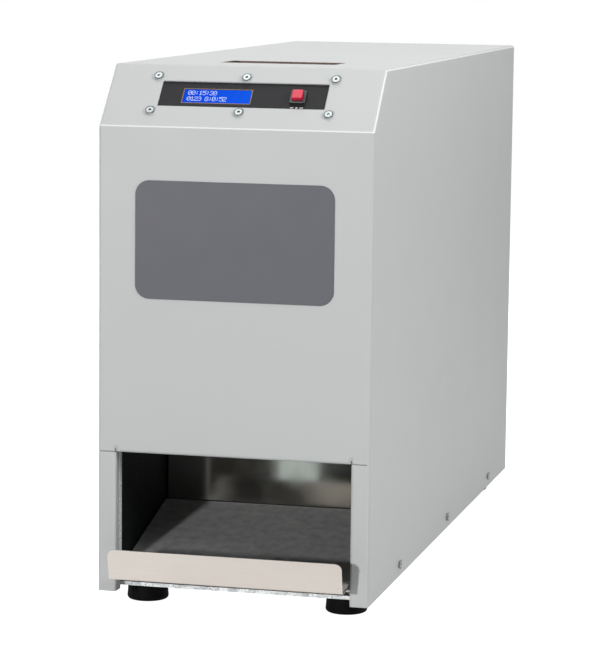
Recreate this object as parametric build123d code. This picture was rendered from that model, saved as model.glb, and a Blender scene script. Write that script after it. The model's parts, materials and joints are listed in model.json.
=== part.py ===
from build123d import *
import math
import os

# Desktop hard drive degausser. All sizes are in millimetres.
# The pieces are drawn with Y = 0 on the front face and Z = 0 on the cover's lower edge.
# At the end everything moves so that the origin lies on the floor, under the middle of the box.

# Cover, a folded sheet steel shell
WIDTH = 260.0
DEPTH = 740.0
BODY_HEIGHT = 492.4
SLOPE_RISE = 54.8
SLOPE_RUN = 51.3
SHEET = 1.5
BEND = 2.5
STILE = 17.5
OPENING_HEIGHT = 133.0
RETURN_DEPTH = 14.3
HEADER_DEPTH = 12.0
SEAM = 0.5
NOTCH_WIDTH = 1.6
NOTCH_HEIGHT = 6.0
REAR_RIM = 14.0

# Fits, and how far a cutting shape runs past what it cuts
GAP = 0.3
RUNNING_GAP = 0.06
SCREW_GAP = 0.25
CLOSE_GAP = 0.1
REACH = 10.0

# Base tray and feet
BASE_SHEET = 3.5
BASE_BEND = 2.0
BASE_UNDER = 3.0
BASE_FLANGE = 22.0
BASE_FRONT = 16.0
FOOT_CLEARANCE = 17.0
FOOT_RADIUS = 20.0
FOOT_TOP_RADIUS = 18.5
FOOT_RIM = 3.0
FOOT_RECESS_RADIUS = 8.0
FOOT_RECESS_DEPTH = 10.0
FOOT_SIDE_INSET = 32.5
FOOT_END_INSET = 55.0

# Screws and nuts: shank and head radii, head heights, and nuts' height and width across the flats
M4_SHANK = 1.95
M4_HEAD = 3.8
M4_HEAD_HEIGHT = 2.2
M4_NUT = 3.2
M4_ACROSS = 7.0
M5_SHANK = 2.45
M5_HEAD = 4.75
M5_HEAD_HEIGHT = 3.0
M5_NUT = 4.0
M5_ACROSS = 8.0
M8_SHANK = 4.0
M8_HEAD_HEIGHT = 5.3
M8_NUT = 6.5
M8_ACROSS = 13.0
THREAD_PAST_NUT = 2.0
PANEL_SCREW_LENGTH = 9.0
SIDE_SCREW_LENGTH = 8.0
REAR_SCREW_LENGTH = 6.0
SIDE_SCREW_HEIGHT = 12.0
SIDE_SCREW_FIRST = 139.0
SIDE_SCREW_LAST = 121.0
SIDE_SCREW_COUNT = 3
UPPER_SCREW_SETBACK = 70.0
UPPER_SCREW_DROP = 33.0
REAR_SCREW_PITCH = 150.0
REAR_SCREW_LOW = 60.0
REAR_SCREW_COUNT = 3
REAR_TOP_SCREW_SHARE = 0.55
ANGLE_SHEET = 2.0
ANGLE_BEND = 1.0
ANGLE_DROP = 45.0
ANGLE_REACH = 25.0
ANGLE_WIDTH = 24.0

# Catch tray
TRAY_SHEET = 1.2
TRAY_UNDER = 16.5
TRAY_SIDE_GAP = 0.9
LIP_FOOT = 23.5
LIP_LEAN = 6.3
LIP_HEIGHT = 29.5
LIP_CORNER = 7.0
TRAY_SLOPE = 14.5
TRAY_BEND_Y = 14.4
TRAY_LENGTH = 161.0
TRAY_REAR_DROP = 12.0
SKIRT_FRONT = 32.0
RUNNER_WIDTH = 9.0
MAT_THICKNESS = 3.6
MAT_FRONT_GAP = 3.0
MAT_REAR_GAP = 1.0
MAT_SIDE_GAP = 0.6

# Chute behind the opening
CHUTE_SHEET = 1.5
CHUTE_FRONT = 15.0
CHUTE_REAR = 215.0
CHUTE_FLANGE = 9.0
CHUTE_SETBACK = 0.5
LINER = 0.8
LINER_UNDER = 20.0
LINER_SETBACK = 1.0
LINER_LENGTH = 184.0
SHELF_UNDER = 150.0
SHELF_SHEET = 2.5
SHELF_REAR = 300.5
SHELF_FOOT = 20.0
DEFLECTOR_SHEET = 1.5
DEFLECTOR_GAP = 1.6
DEFLECTOR_FLANGE = 16.0
THIN_BEND = 1.0

# Media slot and sleeve
SLOT_X = 9.0
SLOT_Y = 141.0
SLOT_LENGTH = 108.0
SLOT_WIDTH = 42.0
SLOT_CORNER = 2.0
SLEEVE_WALL = 2.5
SLEEVE_BELOW_SHELF = 1.0

# Coil
BOBBIN_WALL = 3.0
BOBBIN_FLANGE = 4.0
BOBBIN_RIM = 2.0
COIL_BUILD = 28.0
COIL_HEIGHT = 150.0
CLAMP_PLATE = 8.0
CLAMP_MARGIN_X = 4.0
CLAMP_MARGIN_Y = 13.2
CLAMP_CORNER = 6.0
TIE_INSET_X = 18.8
TIE_INSET_Y = 9.5
LEAD_RADIUS = 4.0
LEAD_LENGTH = 22.0
LEAD_INSET = 16.0

# Gate under the sleeve
GATE_SHEET = 2.0
GATE_PAD = 2.0
GATE_TOP_GAP = 0.6
GATE_MARGIN = 4.0
GATE_CORNER = 3.0
GATE_TAIL = 12.0
GATE_PAD_INSET = 2.0
GATE_TRAVEL = 47.0
GATE_SADDLE_WIDTH = 16.0
GATE_SADDLE_LENGTH = 12.0
GATE_SHAFT_RADIUS = 4.0
GATE_SHAFT_DROP = 4.5
GATE_RAIL_WIDTH = 9.0
GATE_RAIL_BITE = 3.0
GATE_RAIL_LIP = 3.0
GATE_MOTOR_RADIUS = 9.5
GATE_MOTOR_WALL = 4.0
GATE_MOTOR_GAP = 6.0
GATE_MOTOR_CAP = 2.5
GATE_BRACKET_SHEET = 2.0
GATE_BRACKET_WIDTH = 28.0
GATE_BRACKET_FLANGE = 13.0

# Control panel on the sloped face
WINDOW_WIDTH = 158.6
WINDOW_HEIGHT = 30.3
WINDOW_CENTRE = 40.15
WINDOW_CORNER = 0.8
PANEL_SHEET = 2.0
PANEL_MARGIN_X = 13.0
PANEL_MARGIN_V = 13.0
PANEL_CORNER = 2.0
PANEL_SCREW_X = 84.5
PANEL_SCREW_V = 20.85
DISPLAY_X = -25.0
DISPLAY_V = 39.2
DISPLAY_WIDTH = 64.5
DISPLAY_HEIGHT = 16.2
DISPLAY_BEZEL = 3.6
DISPLAY_DEPTH = 7.0
DISPLAY_WELL = 4.0
DISPLAY_GAP = 0.8
DISPLAY_GLASS = 1.0
DISPLAY_GLASS_DROP = 0.4
DISPLAY_CORNER = 0.8
STUD_RADIUS = 2.2
STUD_MARGIN_X = 5.25
STUD_MARGIN_V = 7.4
STUD_RIM = 2.5
CHIP_WIDTH = 34.0
CHIP_HEIGHT = 9.0
CHIP_DEPTH = 2.2
BOARD = 1.6
BUTTON_X = 52.4
BUTTON_V = 39.1
BUTTON_BEZEL = 14.8
BUTTON_BEZEL_HEIGHT = 3.0
BUTTON_BEZEL_CORNER = 1.0
BUTTON_BEZEL_CHAMFER = 0.5
BUTTON_FLOOR = 0.2
BUTTON_CAP = 9.8
BUTTON_CAP_CORNER = 0.8
BUTTON_CAP_EDGE = 0.7
BUTTON_CAP_GAP = 0.35
BUTTON_PROUD = 5.5
BUTTON_TRAVEL = 2.5
BUTTON_BARREL = 6.0
BUTTON_BARREL_LENGTH = 18.0
BUTTON_BLOCK_WIDTH = 15.0
BUTTON_BLOCK_HEIGHT = 11.0
BUTTON_BLOCK_LENGTH = 12.0
BUTTON_STEM = 2.5
BUTTON_STEM_END_GAP = 1.5
BUTTON_NUT = 3.0
BUTTON_NUT_ACROSS = 16.0

# Blank plate on the front face
LABEL_WIDTH = 189.0
LABEL_HEIGHT = 110.0
LABEL_DROP = 104.4
LABEL_CORNER = 13.5
LABEL_THICKNESS = 0.5

# Capacitor bank
CAN_RADIUS = 35.0
CAN_HEIGHT = 146.0
CAN_PITCH = 80.0
CAN_FRONT_GAP = 10.5
CAN_CRIMP = 1.8
CAN_CRIMP_DROP = 5.0
CAN_RIM = 3.0
CAN_RECESS = 2.0
CAN_TERMINAL = 11.0
CAN_TERMINAL_RADIUS = 7.0
CAN_TERMINAL_PROUD = 4.0
CLAMP_BAND = 2.7
CLAMP_HEIGHT = 16.0
CLAMP_LUG_REACH = 13.0
CLAMP_LUG_WIDTH = 12.0
CLAMP_LUG_SHEET = 2.5
BAR_WIDTH = 14.0
BAR_THICKNESS = 3.0
BAR_OVERHANG = 3.0
BAR_BOLT_HEAD = 3.5

# Boards on the bulkhead
BULKHEAD_SHEET = 1.5
BULKHEAD_TOP_GAP = 38.4
BULKHEAD_INSET = 20.0
BULKHEAD_FOOT = 18.0
STANDOFF = 12.0
STANDOFF_RADIUS = 3.0
STANDOFF_INSET = 6.0
BOARD_TOP_GAP = 25.0
BOARD_PART_DEPTH = 10.0
CONTROL_BOARD_WIDTH = 120.0
CONTROL_BOARD_HEIGHT = 95.0
CHARGER_BOARD_WIDTH = 170.0
CHARGER_BOARD_HEIGHT = 165.0

# Thyristor, resistor and transformer
SIDE_MARGIN = 6.0
HEATSINK_GAP = 12.0
HEATSINK_LENGTH = 90.0
HEATSINK_HEIGHT = 120.0
HEATSINK_BASE = 8.0
HEATSINK_FOOT = 15.0
HEATSINK_RELIEF = 8.0
FIN_LENGTH = 28.0
FIN_THICKNESS = 2.5
FIN_COUNT = 9
MODULE_WIDTH = 34.0
MODULE_LENGTH = 92.0
MODULE_HEIGHT = 24.0
MODULE_LOW = 14.0
PAD_SIZE = 16.0
PAD_PITCH = 30.0
PAD_PROUD = 4.0
RESISTOR_RADIUS = 13.0
RESISTOR_BORE = 6.0
RESISTOR_LENGTH = 80.0
RESISTOR_HEIGHT = 32.0
RESISTOR_GAP = 15.0
RESISTOR_SHEET = 1.5
RESISTOR_BRACKET_WIDTH = 12.0
RESISTOR_BRACKET_HEIGHT = 46.0
RESISTOR_BRACKET_FOOT = 12.0
CORE_WIDTH = 105.0
CORE_HEIGHT = 88.0
CORE_STACK = 45.0
CORE_SETBACK = 10.0
CORE_COIL_GAP = 1.2
CORE_COIL_CORNER = 6.0
CORE_FOOT_SHEET = 2.0
CORE_FOOT_WIDTH = 12.0
CORE_FOOT_INSET = 4.0

# Rear panel, fan and mains entry
FAN_SIZE = 80.0
FAN_DEPTH = 25.0
FAN_BORE = 38.0
FAN_SIDE_MARGIN = 14.0
FAN_DROP = 97.4
FAN_HOLE_PITCH = 71.5
FAN_CORNER = 4.0
FAN_SEAT_RADIUS = 16.0
FAN_SEAT = 3.0
FAN_STRUT = 4.0
FAN_PIN_RADIUS = 1.5
FAN_PIN_LENGTH = 12.0
FAN_HUB_RADIUS = 15.5
FAN_HUB_LENGTH = 19.0
FAN_HUB_EDGE = 1.5
FAN_TIP_GAP = 1.2
FAN_BLADES = 7
BLADE_PITCH = 38.0
BLADE_WIDTH = 20.0
BLADE_THICKNESS = 1.6
BLADE_ROOT = 3.5
GUARD_WIRE = 1.8
GUARD_PROUD = 7.0
GUARD_FIRST_HOOP = 10.0
GUARD_HOOP_PITCH = 9.0
GUARD_HOOPS = 4
GUARD_SINK = 0.4
GUARD_LEG_INSET = 6.0
GUARD_PAD = 1.0
GUARD_PAD_LENGTH = 12.0
GUARD_PAD_WIDTH = 7.0
FAN_SCREW_PAST = 4.0
FAN_SCREW_HEAD = 2.0
VENT_COUNT = 8
VENT_WIDTH = 80.0
VENT_HEIGHT = 5.0
VENT_PITCH = 14.0
VENT_LOW = 150.0
VENT_CORNER = 2.4
REAR_FLANGE = 20.0
REAR_FLANGE_HEIGHT = 30.0
INLET_SIDE_INSET = 60.0
INLET_Z = 70.0
INLET_WIDTH = 27.0
INLET_HEIGHT = 20.0
INLET_DEPTH = 26.0
INLET_CORNER = 2.0
INLET_FLANGE = 3.0
INLET_FLANGE_WIDTH = 48.0
INLET_FLANGE_HEIGHT = 26.0
INLET_WALL = 1.6
INLET_SOCKET_DEPTH = 14.0
INLET_RIVET = 3.0
INLET_RIVET_PROUD = 1.2
INLET_RIVET_X = 20.0
BLADE_PIN_WIDTH = 2.0
BLADE_PIN_HEIGHT = 4.0
BLADE_PIN_SETBACK = 5.0
BLADE_PIN_X = 7.0
BLADE_PIN_DROP = 1.5
BLADE_PIN_RISE = 2.5
SWITCH_Z = 118.0
SWITCH_WIDTH = 21.0
SWITCH_HEIGHT = 27.0
SWITCH_DEPTH = 22.0
SWITCH_FLANGE = 2.0
SWITCH_WALL = 2.0
SWITCH_SOCKET_DEPTH = 14.0
SWITCH_CORNER = 1.0
ROCKER_HALF = 10.2
ROCKER_HALF_WIDTH = 8.1
ROCKER_RISE = 3.6
ROCKER_DIP = 1.6
ROCKER_FOOT = 6.0
ROCKER_KEEL = 9.0
ROCKER_TILT = 10.0

# Sizes worked out from the ones above
FRONT_HEIGHT = BODY_HEIGHT - SLOPE_RISE
SLOPE_LENGTH = math.hypot(SLOPE_RUN, SLOPE_RISE)
OPENING_HALF = WIDTH / 2 - STILE
BASE_TOP = BASE_UNDER + BASE_SHEET
INNER_HALF = WIDTH / 2 - SHEET
REAR_INSIDE = DEPTH - 2 * SHEET
REAR_OUTSIDE = DEPTH - SHEET
REAR_REACH = REAR_OUTSIDE + GUARD_PROUD
LIP_REACH = LIP_FOOT + LIP_LEAN
SHELF_TOP = SHELF_UNDER + SHELF_SHEET
CHUTE_HALF = OPENING_HALF + CHUTE_SETBACK
SLEEVE_LENGTH = SLOT_LENGTH + 2 * SLEEVE_WALL
SLEEVE_WIDTH = SLOT_WIDTH + 2 * SLEEVE_WALL
SLEEVE_UNDER = SHELF_UNDER - SLEEVE_BELOW_SHELF
BOBBIN_UNDER = SHELF_TOP + CLAMP_PLATE
BOBBIN_TOP = BOBBIN_UNDER + COIL_HEIGHT + 2 * BOBBIN_FLANGE
GATE_TOP = SLEEVE_UNDER - GATE_TOP_GAP
GATE_UNDER = GATE_TOP - GATE_PAD - GATE_SHEET
GATE_HALF = SLOT_LENGTH / 2 + GATE_MARGIN
GATE_FRONT = SLOT_Y - SLOT_WIDTH / 2 - GATE_MARGIN
GATE_REAR = SLOT_Y + SLOT_WIDTH / 2 + GATE_MARGIN + GATE_TAIL
GATE_AXIS_Z = GATE_UNDER - GATE_SHAFT_DROP
GATE_RAIL_UNDER = GATE_UNDER - GAP - GATE_RAIL_LIP
GATE_MOTOR_FRONT = GATE_REAR + GATE_TRAVEL + GATE_MOTOR_GAP + GATE_BRACKET_SHEET
GATE_SHAFT_END = GATE_MOTOR_FRONT + 2 * GATE_SHAFT_RADIUS
INNER_CLEAR = INNER_HALF - GAP - BASE_SHEET
CAN_FIRST_Y = SHELF_REAR + SHELF_FOOT + CAN_FRONT_GAP + CAN_RADIUS
CAN_COLUMNS = int(2 * INNER_CLEAR // CAN_PITCH)
TERMINAL_TOP = BASE_TOP + CAN_HEIGHT + CAN_TERMINAL_PROUD
BULKHEAD_Y = SHELF_REAR - BULKHEAD_INSET
BULKHEAD_TOP = BODY_HEIGHT - SHEET - BULKHEAD_TOP_GAP
BOARD_TOP = BULKHEAD_TOP - BOARD_TOP_GAP
HEATSINK_X = SIDE_MARGIN - INNER_CLEAR
HEATSINK_Y = CAN_FIRST_Y + CAN_PITCH + CAN_RADIUS + HEATSINK_GAP
MODULE_X = HEATSINK_X + FIN_LENGTH + HEATSINK_BASE
CORE_LEG = CORE_WIDTH / 6
CORE_COIL = CORE_LEG - CORE_COIL_GAP
CORE_X = INNER_CLEAR - SIDE_MARGIN - CORE_FOOT_WIDTH - CORE_WIDTH / 2
CORE_Y = HEATSINK_Y + CORE_SETBACK
CORE_UNDER = BASE_TOP + CORE_FOOT_SHEET
RESISTOR_Y = CORE_Y + CORE_STACK + CORE_COIL + RESISTOR_GAP
FAN_X = REAR_RIM + FAN_SIDE_MARGIN + FAN_SIZE / 2 - WIDTH / 2
FAN_Z = BODY_HEIGHT - FAN_DROP
INLET_X = WIDTH / 2 - INLET_SIDE_INSET
LABEL_MIDDLE = FRONT_HEIGHT - LABEL_DROP
FRONT_Y = (LIP_REACH - REAR_REACH) / 2
PART_ORIGIN = Pos(0, FRONT_Y, FOOT_CLEARANCE)
PANEL_PLANE = Plane(origin=(0, 0, FRONT_HEIGHT), x_dir=(1, 0, 0), z_dir=(0, -SLOPE_RISE, SLOPE_RUN))
FRONT_PLANE = Plane(origin=(0, 0, 0), x_dir=(1, 0, 0), z_dir=(0, -1, 0))
REAR_PLANE = Plane(origin=(0, REAR_OUTSIDE, 0), x_dir=(-1, 0, 0), z_dir=(0, 1, 0))


def block(xs, ys, zs):
    """Box between low and high values along X, Y and Z."""
    spans = (xs, ys, zs)
    middle = [sum(span) / 2 for span in spans]
    return Pos(*middle) * Box(*[span[1] - span[0] for span in spans])


def peg(start, direction, radius, length):
    """Round bar that starts at a point and runs along a direction."""
    return extrude(Plane(origin=start, z_dir=direction) * Circle(radius), length)


def ring(start, direction, outer, inner, length):
    """Round bar with a hole through it."""
    return peg(start, direction, outer, length) - peg(start, direction, inner, length)


def hexagon(start, direction, across, length):
    """Hexagonal bar, given its width across the flats."""
    outline = RegularPolygon(across / 2, 6, major_radius=False)
    return extrude(Plane(origin=start, z_dir=direction) * outline, length)


def slab(plane, u, v, width, height, low, high, corner=0.0):
    """Plate on a plane, from one height above it to another, with rounded corners if asked."""
    outline = RectangleRounded(width, height, corner) if corner else Rectangle(width, height)
    return extrude(plane * Pos(u, v, low) * outline, high - low)


def sheet_outline(points, thickness, bend):
    """Side view of a bent sheet. The points follow one skin, and the metal lies on their left."""
    skin = [Vector(*point) for point in points]
    runs = [(after - before).normalized() for before, after in zip(skin, skin[1:])]
    lefts = [Vector(-run.Y, run.X) for run in runs]
    other = [skin[0] + lefts[0] * thickness]
    skin_radii = []
    other_radii = []
    for corner, into, out, left_in, left_out in zip(skin[1:], runs, runs[1:], lefts, lefts[1:]):
        bisector = (left_in + left_out).normalized()
        other.append(corner + bisector * (thickness / bisector.dot(left_in)))
        turns_left = into.X * out.Y - into.Y * out.X > 0
        skin_radii.append(bend + thickness if turns_left else bend)
        other_radii.append(bend if turns_left else bend + thickness)
    other.append(skin[-1] + lefts[-1] * thickness)
    return make_face([
        FilletPolyline(*skin, radius=skin_radii),
        Line(skin[-1], other[-1]),
        FilletPolyline(*other, radius=other_radii),
        Line(other[0], skin[0]),
    ])


def side_profile(outline, low_x, high_x):
    """Extrude an outline drawn in Y and Z between two places along X."""
    return Pos(low_x, 0, 0) * extrude(Plane.YZ * outline, high_x - low_x)


def front_profile(outline, low_y, high_y):
    """Extrude an outline drawn in X and Z between two places along Y."""
    return Pos(0, high_y, 0) * extrude(Plane.XZ * outline, high_y - low_y)


def both_sides(piece):
    """The piece and its mirror image on the other side of the machine."""
    return [piece, mirror(piece, about=Plane.YZ)]


def group(pieces):
    """Several separate solids that share one node."""
    return Compound(children=list(pieces))


def button_screw(start, direction, length, shank=M4_SHANK, head=M4_HEAD, head_height=M4_HEAD_HEIGHT):
    """Screw with a domed head. It starts at the seat of its head and runs along the direction."""
    back = Vector(*direction).normalized() * -1
    dome = peg(start, back, head, head_height)
    rim = dome.faces().sort_by(Axis(start, back))[-1].edges()
    return fillet(rim, head_height * 0.6) + peg(start, direction, shank, length)


def nut(start, direction, across, height, shank):
    """Hexagonal nut round a screw's shank."""
    return hexagon(start, direction, across, height) - peg(start, direction, shank + CLOSE_GAP, height)


def side_screw_rows():
    """Distances behind the front face of the screws along each side's lower edge."""
    pitch = (DEPTH - SIDE_SCREW_FIRST - SIDE_SCREW_LAST) / (SIDE_SCREW_COUNT - 1)
    return [SIDE_SCREW_FIRST + pitch * index for index in range(SIDE_SCREW_COUNT)]


def rear_screw_spots():
    """Places of the screws in the cover's rear rim, as X and Z."""
    side = WIDTH / 2 - REAR_RIM / 2 - SHEET / 2
    rows = [REAR_SCREW_LOW + REAR_SCREW_PITCH * index for index in range(REAR_SCREW_COUNT)]
    top = BODY_HEIGHT - REAR_RIM / 2 - SHEET / 2
    spots = [(end * side, row) for end in (-1, 1) for row in rows]
    return spots + [(end * side * REAR_TOP_SCREW_SHARE, top) for end in (-1, 1)]


def panel_screw_spots():
    """Places of the control panel's screws on the sloped face."""
    rows = (WINDOW_CENTRE - PANEL_SCREW_V, WINDOW_CENTRE + PANEL_SCREW_V)
    return [(x, row) for x in (-PANEL_SCREW_X, 0, PANEL_SCREW_X) for row in rows]


def foot_spots():
    """Centres of the four feet, as X and Y."""
    side = WIDTH / 2 - FOOT_SIDE_INSET
    return [(x, y) for x in (-side, side) for y in (FOOT_END_INSET, DEPTH - FOOT_END_INSET)]


def casing_profile(inset, below):
    """Side view of the casing, drawn a little inside its outer skin."""
    slope_foot = FRONT_HEIGHT + inset * (SLOPE_RISE - SLOPE_LENGTH) / SLOPE_RUN
    slope_head = (inset * SLOPE_LENGTH + (SLOPE_RISE - inset) * SLOPE_RUN) / SLOPE_RISE
    top = BODY_HEIGHT - inset
    rear = DEPTH - inset
    corners = [(inset, -below), (inset, slope_foot), (slope_head, top), (rear, top), (rear, -below)]
    return make_face(Polyline(*corners, close=True))


def rounded_casing(inset, below, radius):
    """Closed block of the casing's shape with every edge rounded but the lower ones."""
    half = WIDTH / 2 - inset
    solid = side_profile(casing_profile(inset, below), -half, half)
    bends = [edge for edge in solid.edges() if edge.bounding_box().max.Z > radius - below]
    return fillet(bends, radius)


def cover():
    """Folded shell: front, slope, top, sides and rear rim in one piece, open below."""
    shell = rounded_casing(0, 0, BEND) - rounded_casing(SHEET, REACH, BEND - SHEET)
    rim_half = WIDTH / 2 - REAR_RIM
    shell -= block((-rim_half, rim_half), (DEPTH - REACH, DEPTH + REACH), (-REACH, BODY_HEIGHT - REAR_RIM))
    shell -= block((-OPENING_HALF, OPENING_HALF), (-REACH, REACH), (-REACH, OPENING_HEIGHT))
    stile_return = block((OPENING_HALF, OPENING_HALF + SHEET), (0, RETURN_DEPTH), (0, OPENING_HEIGHT))
    for flange in both_sides(stile_return):
        shell += flange
    header_half = OPENING_HALF - NOTCH_WIDTH
    shell += block((-header_half, header_half), (0, HEADER_DEPTH), (OPENING_HEIGHT, OPENING_HEIGHT + SHEET))
    notch = block((header_half, OPENING_HALF + NOTCH_WIDTH), (-REACH, RETURN_DEPTH),
                  (OPENING_HEIGHT, OPENING_HEIGHT + NOTCH_HEIGHT))
    seam = block((header_half, WIDTH / 2 - BEND), (-REACH, RETURN_DEPTH),
                 (OPENING_HEIGHT, OPENING_HEIGHT + SEAM))
    for cut in both_sides(notch) + both_sides(seam):
        shell -= cut
    shell = fillet(opening_edges(shell), BEND)
    shell -= slab(PANEL_PLANE, 0, WINDOW_CENTRE, WINDOW_WIDTH, WINDOW_HEIGHT, -REACH, REACH, WINDOW_CORNER)
    for u, v in panel_screw_spots():
        shell -= PANEL_PLANE * Pos(u, v, 0) * Cylinder(M4_SHANK + SCREW_GAP, REACH)
    shell -= around_sleeve(GAP, BODY_HEIGHT - REACH, BODY_HEIGHT + REACH)
    for y in side_screw_rows():
        hole = peg((WIDTH / 2 - REACH, y, SIDE_SCREW_HEIGHT), (1, 0, 0), M4_SHANK + SCREW_GAP, 2 * REACH)
        for cut in both_sides(hole):
            shell -= cut
    upper = (-WIDTH / 2 - REACH, UPPER_SCREW_SETBACK, BODY_HEIGHT - UPPER_SCREW_DROP)
    shell -= peg(upper, (1, 0, 0), M4_SHANK + SCREW_GAP, 2 * REACH)
    for x, z in rear_screw_spots():
        shell -= peg((x, DEPTH - REACH, z), (0, 1, 0), M4_SHANK + SCREW_GAP, 2 * REACH)
    return shell


def opening_edges(shell):
    """Outer edges of the flanges that turn back around the tray opening."""
    found = []
    for edge in shell.edges():
        box = edge.bounding_box()
        on_front = box.max.Y < 0.01
        upright = abs(abs(edge.center().X) - OPENING_HALF) < 0.01 and box.size.Z > OPENING_HEIGHT - GAP
        level = abs(edge.center().Z - OPENING_HEIGHT) < 0.01 and box.size.X > OPENING_HALF
        if on_front and (upright or level):
            found.append(edge)
    return found


def base_tray():
    """Thick galvanised floor with its long edges turned up inside the cover."""
    half = INNER_HALF - GAP
    top = BASE_UNDER + BASE_FLANGE
    outline = sheet_outline([(-half, top), (-half, BASE_UNDER), (half, BASE_UNDER), (half, top)], BASE_SHEET,
                            BASE_BEND)
    tray = front_profile(outline, BASE_FRONT, REAR_INSIDE - GAP)
    for x, y in foot_spots():
        tray -= peg((x, y, BASE_UNDER - REACH), (0, 0, 1), M5_SHANK + SCREW_GAP, 2 * REACH)
    for y in side_screw_rows():
        hole = peg((half - REACH, y, SIDE_SCREW_HEIGHT), (1, 0, 0), M4_SHANK + SCREW_GAP, 2 * REACH)
        for cut in both_sides(hole):
            tray -= cut
    return tray


def feet():
    """Four rubber feet with a recess for the bolt head."""
    height = FOOT_CLEARANCE + BASE_UNDER
    bore = M5_SHANK + SCREW_GAP
    profile = make_face(Polyline(
        (bore, FOOT_RECESS_DEPTH), (FOOT_RECESS_RADIUS, FOOT_RECESS_DEPTH), (FOOT_RECESS_RADIUS, 0),
        (FOOT_RADIUS, 0), (FOOT_TOP_RADIUS, height), (bore, height), close=True))
    foot = revolve(Plane.XZ * profile, Axis.Z)
    lower_rim = foot.edges().filter_by(GeomType.CIRCLE).filter_by(lambda edge: edge.radius > FOOT_RADIUS - GAP)
    foot = fillet(lower_rim, FOOT_RIM)
    return group(Pos(x, y, -FOOT_CLEARANCE) * foot for x, y in foot_spots())


def foot_bolts():
    """Bolts that hold the feet, each with its nut on the floor of the base."""
    seat = FOOT_RECESS_DEPTH - FOOT_CLEARANCE
    pieces = []
    for x, y in foot_spots():
        shank = BASE_TOP - seat + M5_NUT + THREAD_PAST_NUT
        pieces.append(button_screw((x, y, seat), (0, 0, 1), shank, M5_SHANK, M5_HEAD, M5_HEAD_HEIGHT))
        pieces.append(nut((x, y, BASE_TOP), (0, 0, 1), M5_ACROSS, M5_NUT, M5_SHANK))
    return group(pieces)


def cover_screws():
    """Screws along the sides, one high on the left side, and those in the rear rim."""
    half = WIDTH / 2
    pieces = []
    for y in side_screw_rows():
        pieces += both_sides(button_screw((half, y, SIDE_SCREW_HEIGHT), (-1, 0, 0), SIDE_SCREW_LENGTH))
    upper = (-half, UPPER_SCREW_SETBACK, BODY_HEIGHT - UPPER_SCREW_DROP)
    pieces.append(button_screw(upper, (1, 0, 0), SIDE_SCREW_LENGTH))
    for x, z in rear_screw_spots():
        pieces.append(button_screw((x, DEPTH, z), (0, -1, 0), REAR_SCREW_LENGTH))
    return group(pieces)


def corner_bracket():
    """Small angle inside the left wall that the upper screw holds, standing on the top's inner skin."""
    outer = -INNER_HALF
    top = BODY_HEIGHT - SHEET - GAP
    outline = sheet_outline([(outer + ANGLE_REACH, top), (outer, top), (outer, top - ANGLE_DROP)], ANGLE_SHEET,
                            ANGLE_BEND)
    front = UPPER_SCREW_SETBACK - ANGLE_WIDTH / 2
    bracket = front_profile(outline, front, front + ANGLE_WIDTH)
    hole = (outer - REACH, UPPER_SCREW_SETBACK, BODY_HEIGHT - UPPER_SCREW_DROP)
    return bracket - peg(hole, (1, 0, 0), M4_SHANK + SCREW_GAP, 2 * REACH)


def chute_side():
    """Right-hand wall of the chute, with flanges turned out onto the base and under the shelf."""
    rim = CHUTE_HALF + CHUTE_FLANGE
    skin = [(rim, SHELF_UNDER), (CHUTE_HALF, SHELF_UNDER), (CHUTE_HALF, BASE_TOP), (rim, BASE_TOP)]
    return front_profile(sheet_outline(skin, CHUTE_SHEET, THIN_BEND), CHUTE_FRONT, CHUTE_REAR)


def chute_liners():
    """Thin black sheets on the inner faces of the chute walls."""
    front = CHUTE_FRONT + LINER_SETBACK
    liner = block((CHUTE_HALF - LINER, CHUTE_HALF), (front, front + LINER_LENGTH),
                  (LINER_UNDER, SHELF_UNDER - GAP))
    return group(both_sides(liner))


def slope_rise(y):
    """Height of the tray's sloped underside at a distance behind the front face."""
    return TRAY_UNDER + (y - TRAY_BEND_Y) * math.tan(math.radians(TRAY_SLOPE))


def catch_tray():
    """Stainless tray: front lip, short level floor, sloped floor, side skirts and runners."""
    half = OPENING_HALF - TRAY_SIDE_GAP
    rear_z = slope_rise(TRAY_LENGTH)
    outline = sheet_outline([
        (-LIP_REACH, TRAY_UNDER + LIP_HEIGHT), (-LIP_FOOT, TRAY_UNDER), (TRAY_BEND_Y, TRAY_UNDER),
        (TRAY_LENGTH, rear_z), (TRAY_LENGTH, rear_z - TRAY_REAR_DROP)], TRAY_SHEET, THIN_BEND)
    tray = side_profile(outline, -half, half)
    lip_corners = [edge for edge in tray.edges()
                   if edge.length < TRAY_SHEET + GAP and edge.center().Z > TRAY_UNDER + LIP_HEIGHT / 2
                   and edge.center().Y < 0]
    tray = fillet(lip_corners, LIP_CORNER)
    low = BASE_TOP + GAP
    skirt_top = TRAY_SHEET / 2
    skirt = side_profile(make_face(Polyline(
        (SKIRT_FRONT, low), (TRAY_LENGTH, low), (TRAY_LENGTH, rear_z + skirt_top),
        (SKIRT_FRONT, slope_rise(SKIRT_FRONT) + skirt_top), close=True)), half - TRAY_SHEET, half)
    runner = block((half - RUNNER_WIDTH, half), (SKIRT_FRONT, TRAY_LENGTH), (low, low + TRAY_SHEET))
    for piece in both_sides(skirt + runner):
        tray += piece
    return tray


def tray_mat():
    """Soft mat on the tray's floor, from just behind the lip to the rear edge."""
    half = OPENING_HALF - TRAY_SIDE_GAP - MAT_SIDE_GAP
    rise = math.radians(TRAY_SLOPE)
    lift = TRAY_SHEET + GAP
    level = TRAY_UNDER + lift
    bend_y = TRAY_BEND_Y - lift * math.tan(rise / 2)
    rear = TRAY_LENGTH - MAT_REAR_GAP
    rear_z = level + (rear - bend_y) * math.tan(rise)
    outline = sheet_outline([(MAT_FRONT_GAP - LIP_FOOT, level), (bend_y, level), (rear, rear_z)], MAT_THICKNESS,
                            MAT_THICKNESS)
    return side_profile(outline, -half, half)


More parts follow.
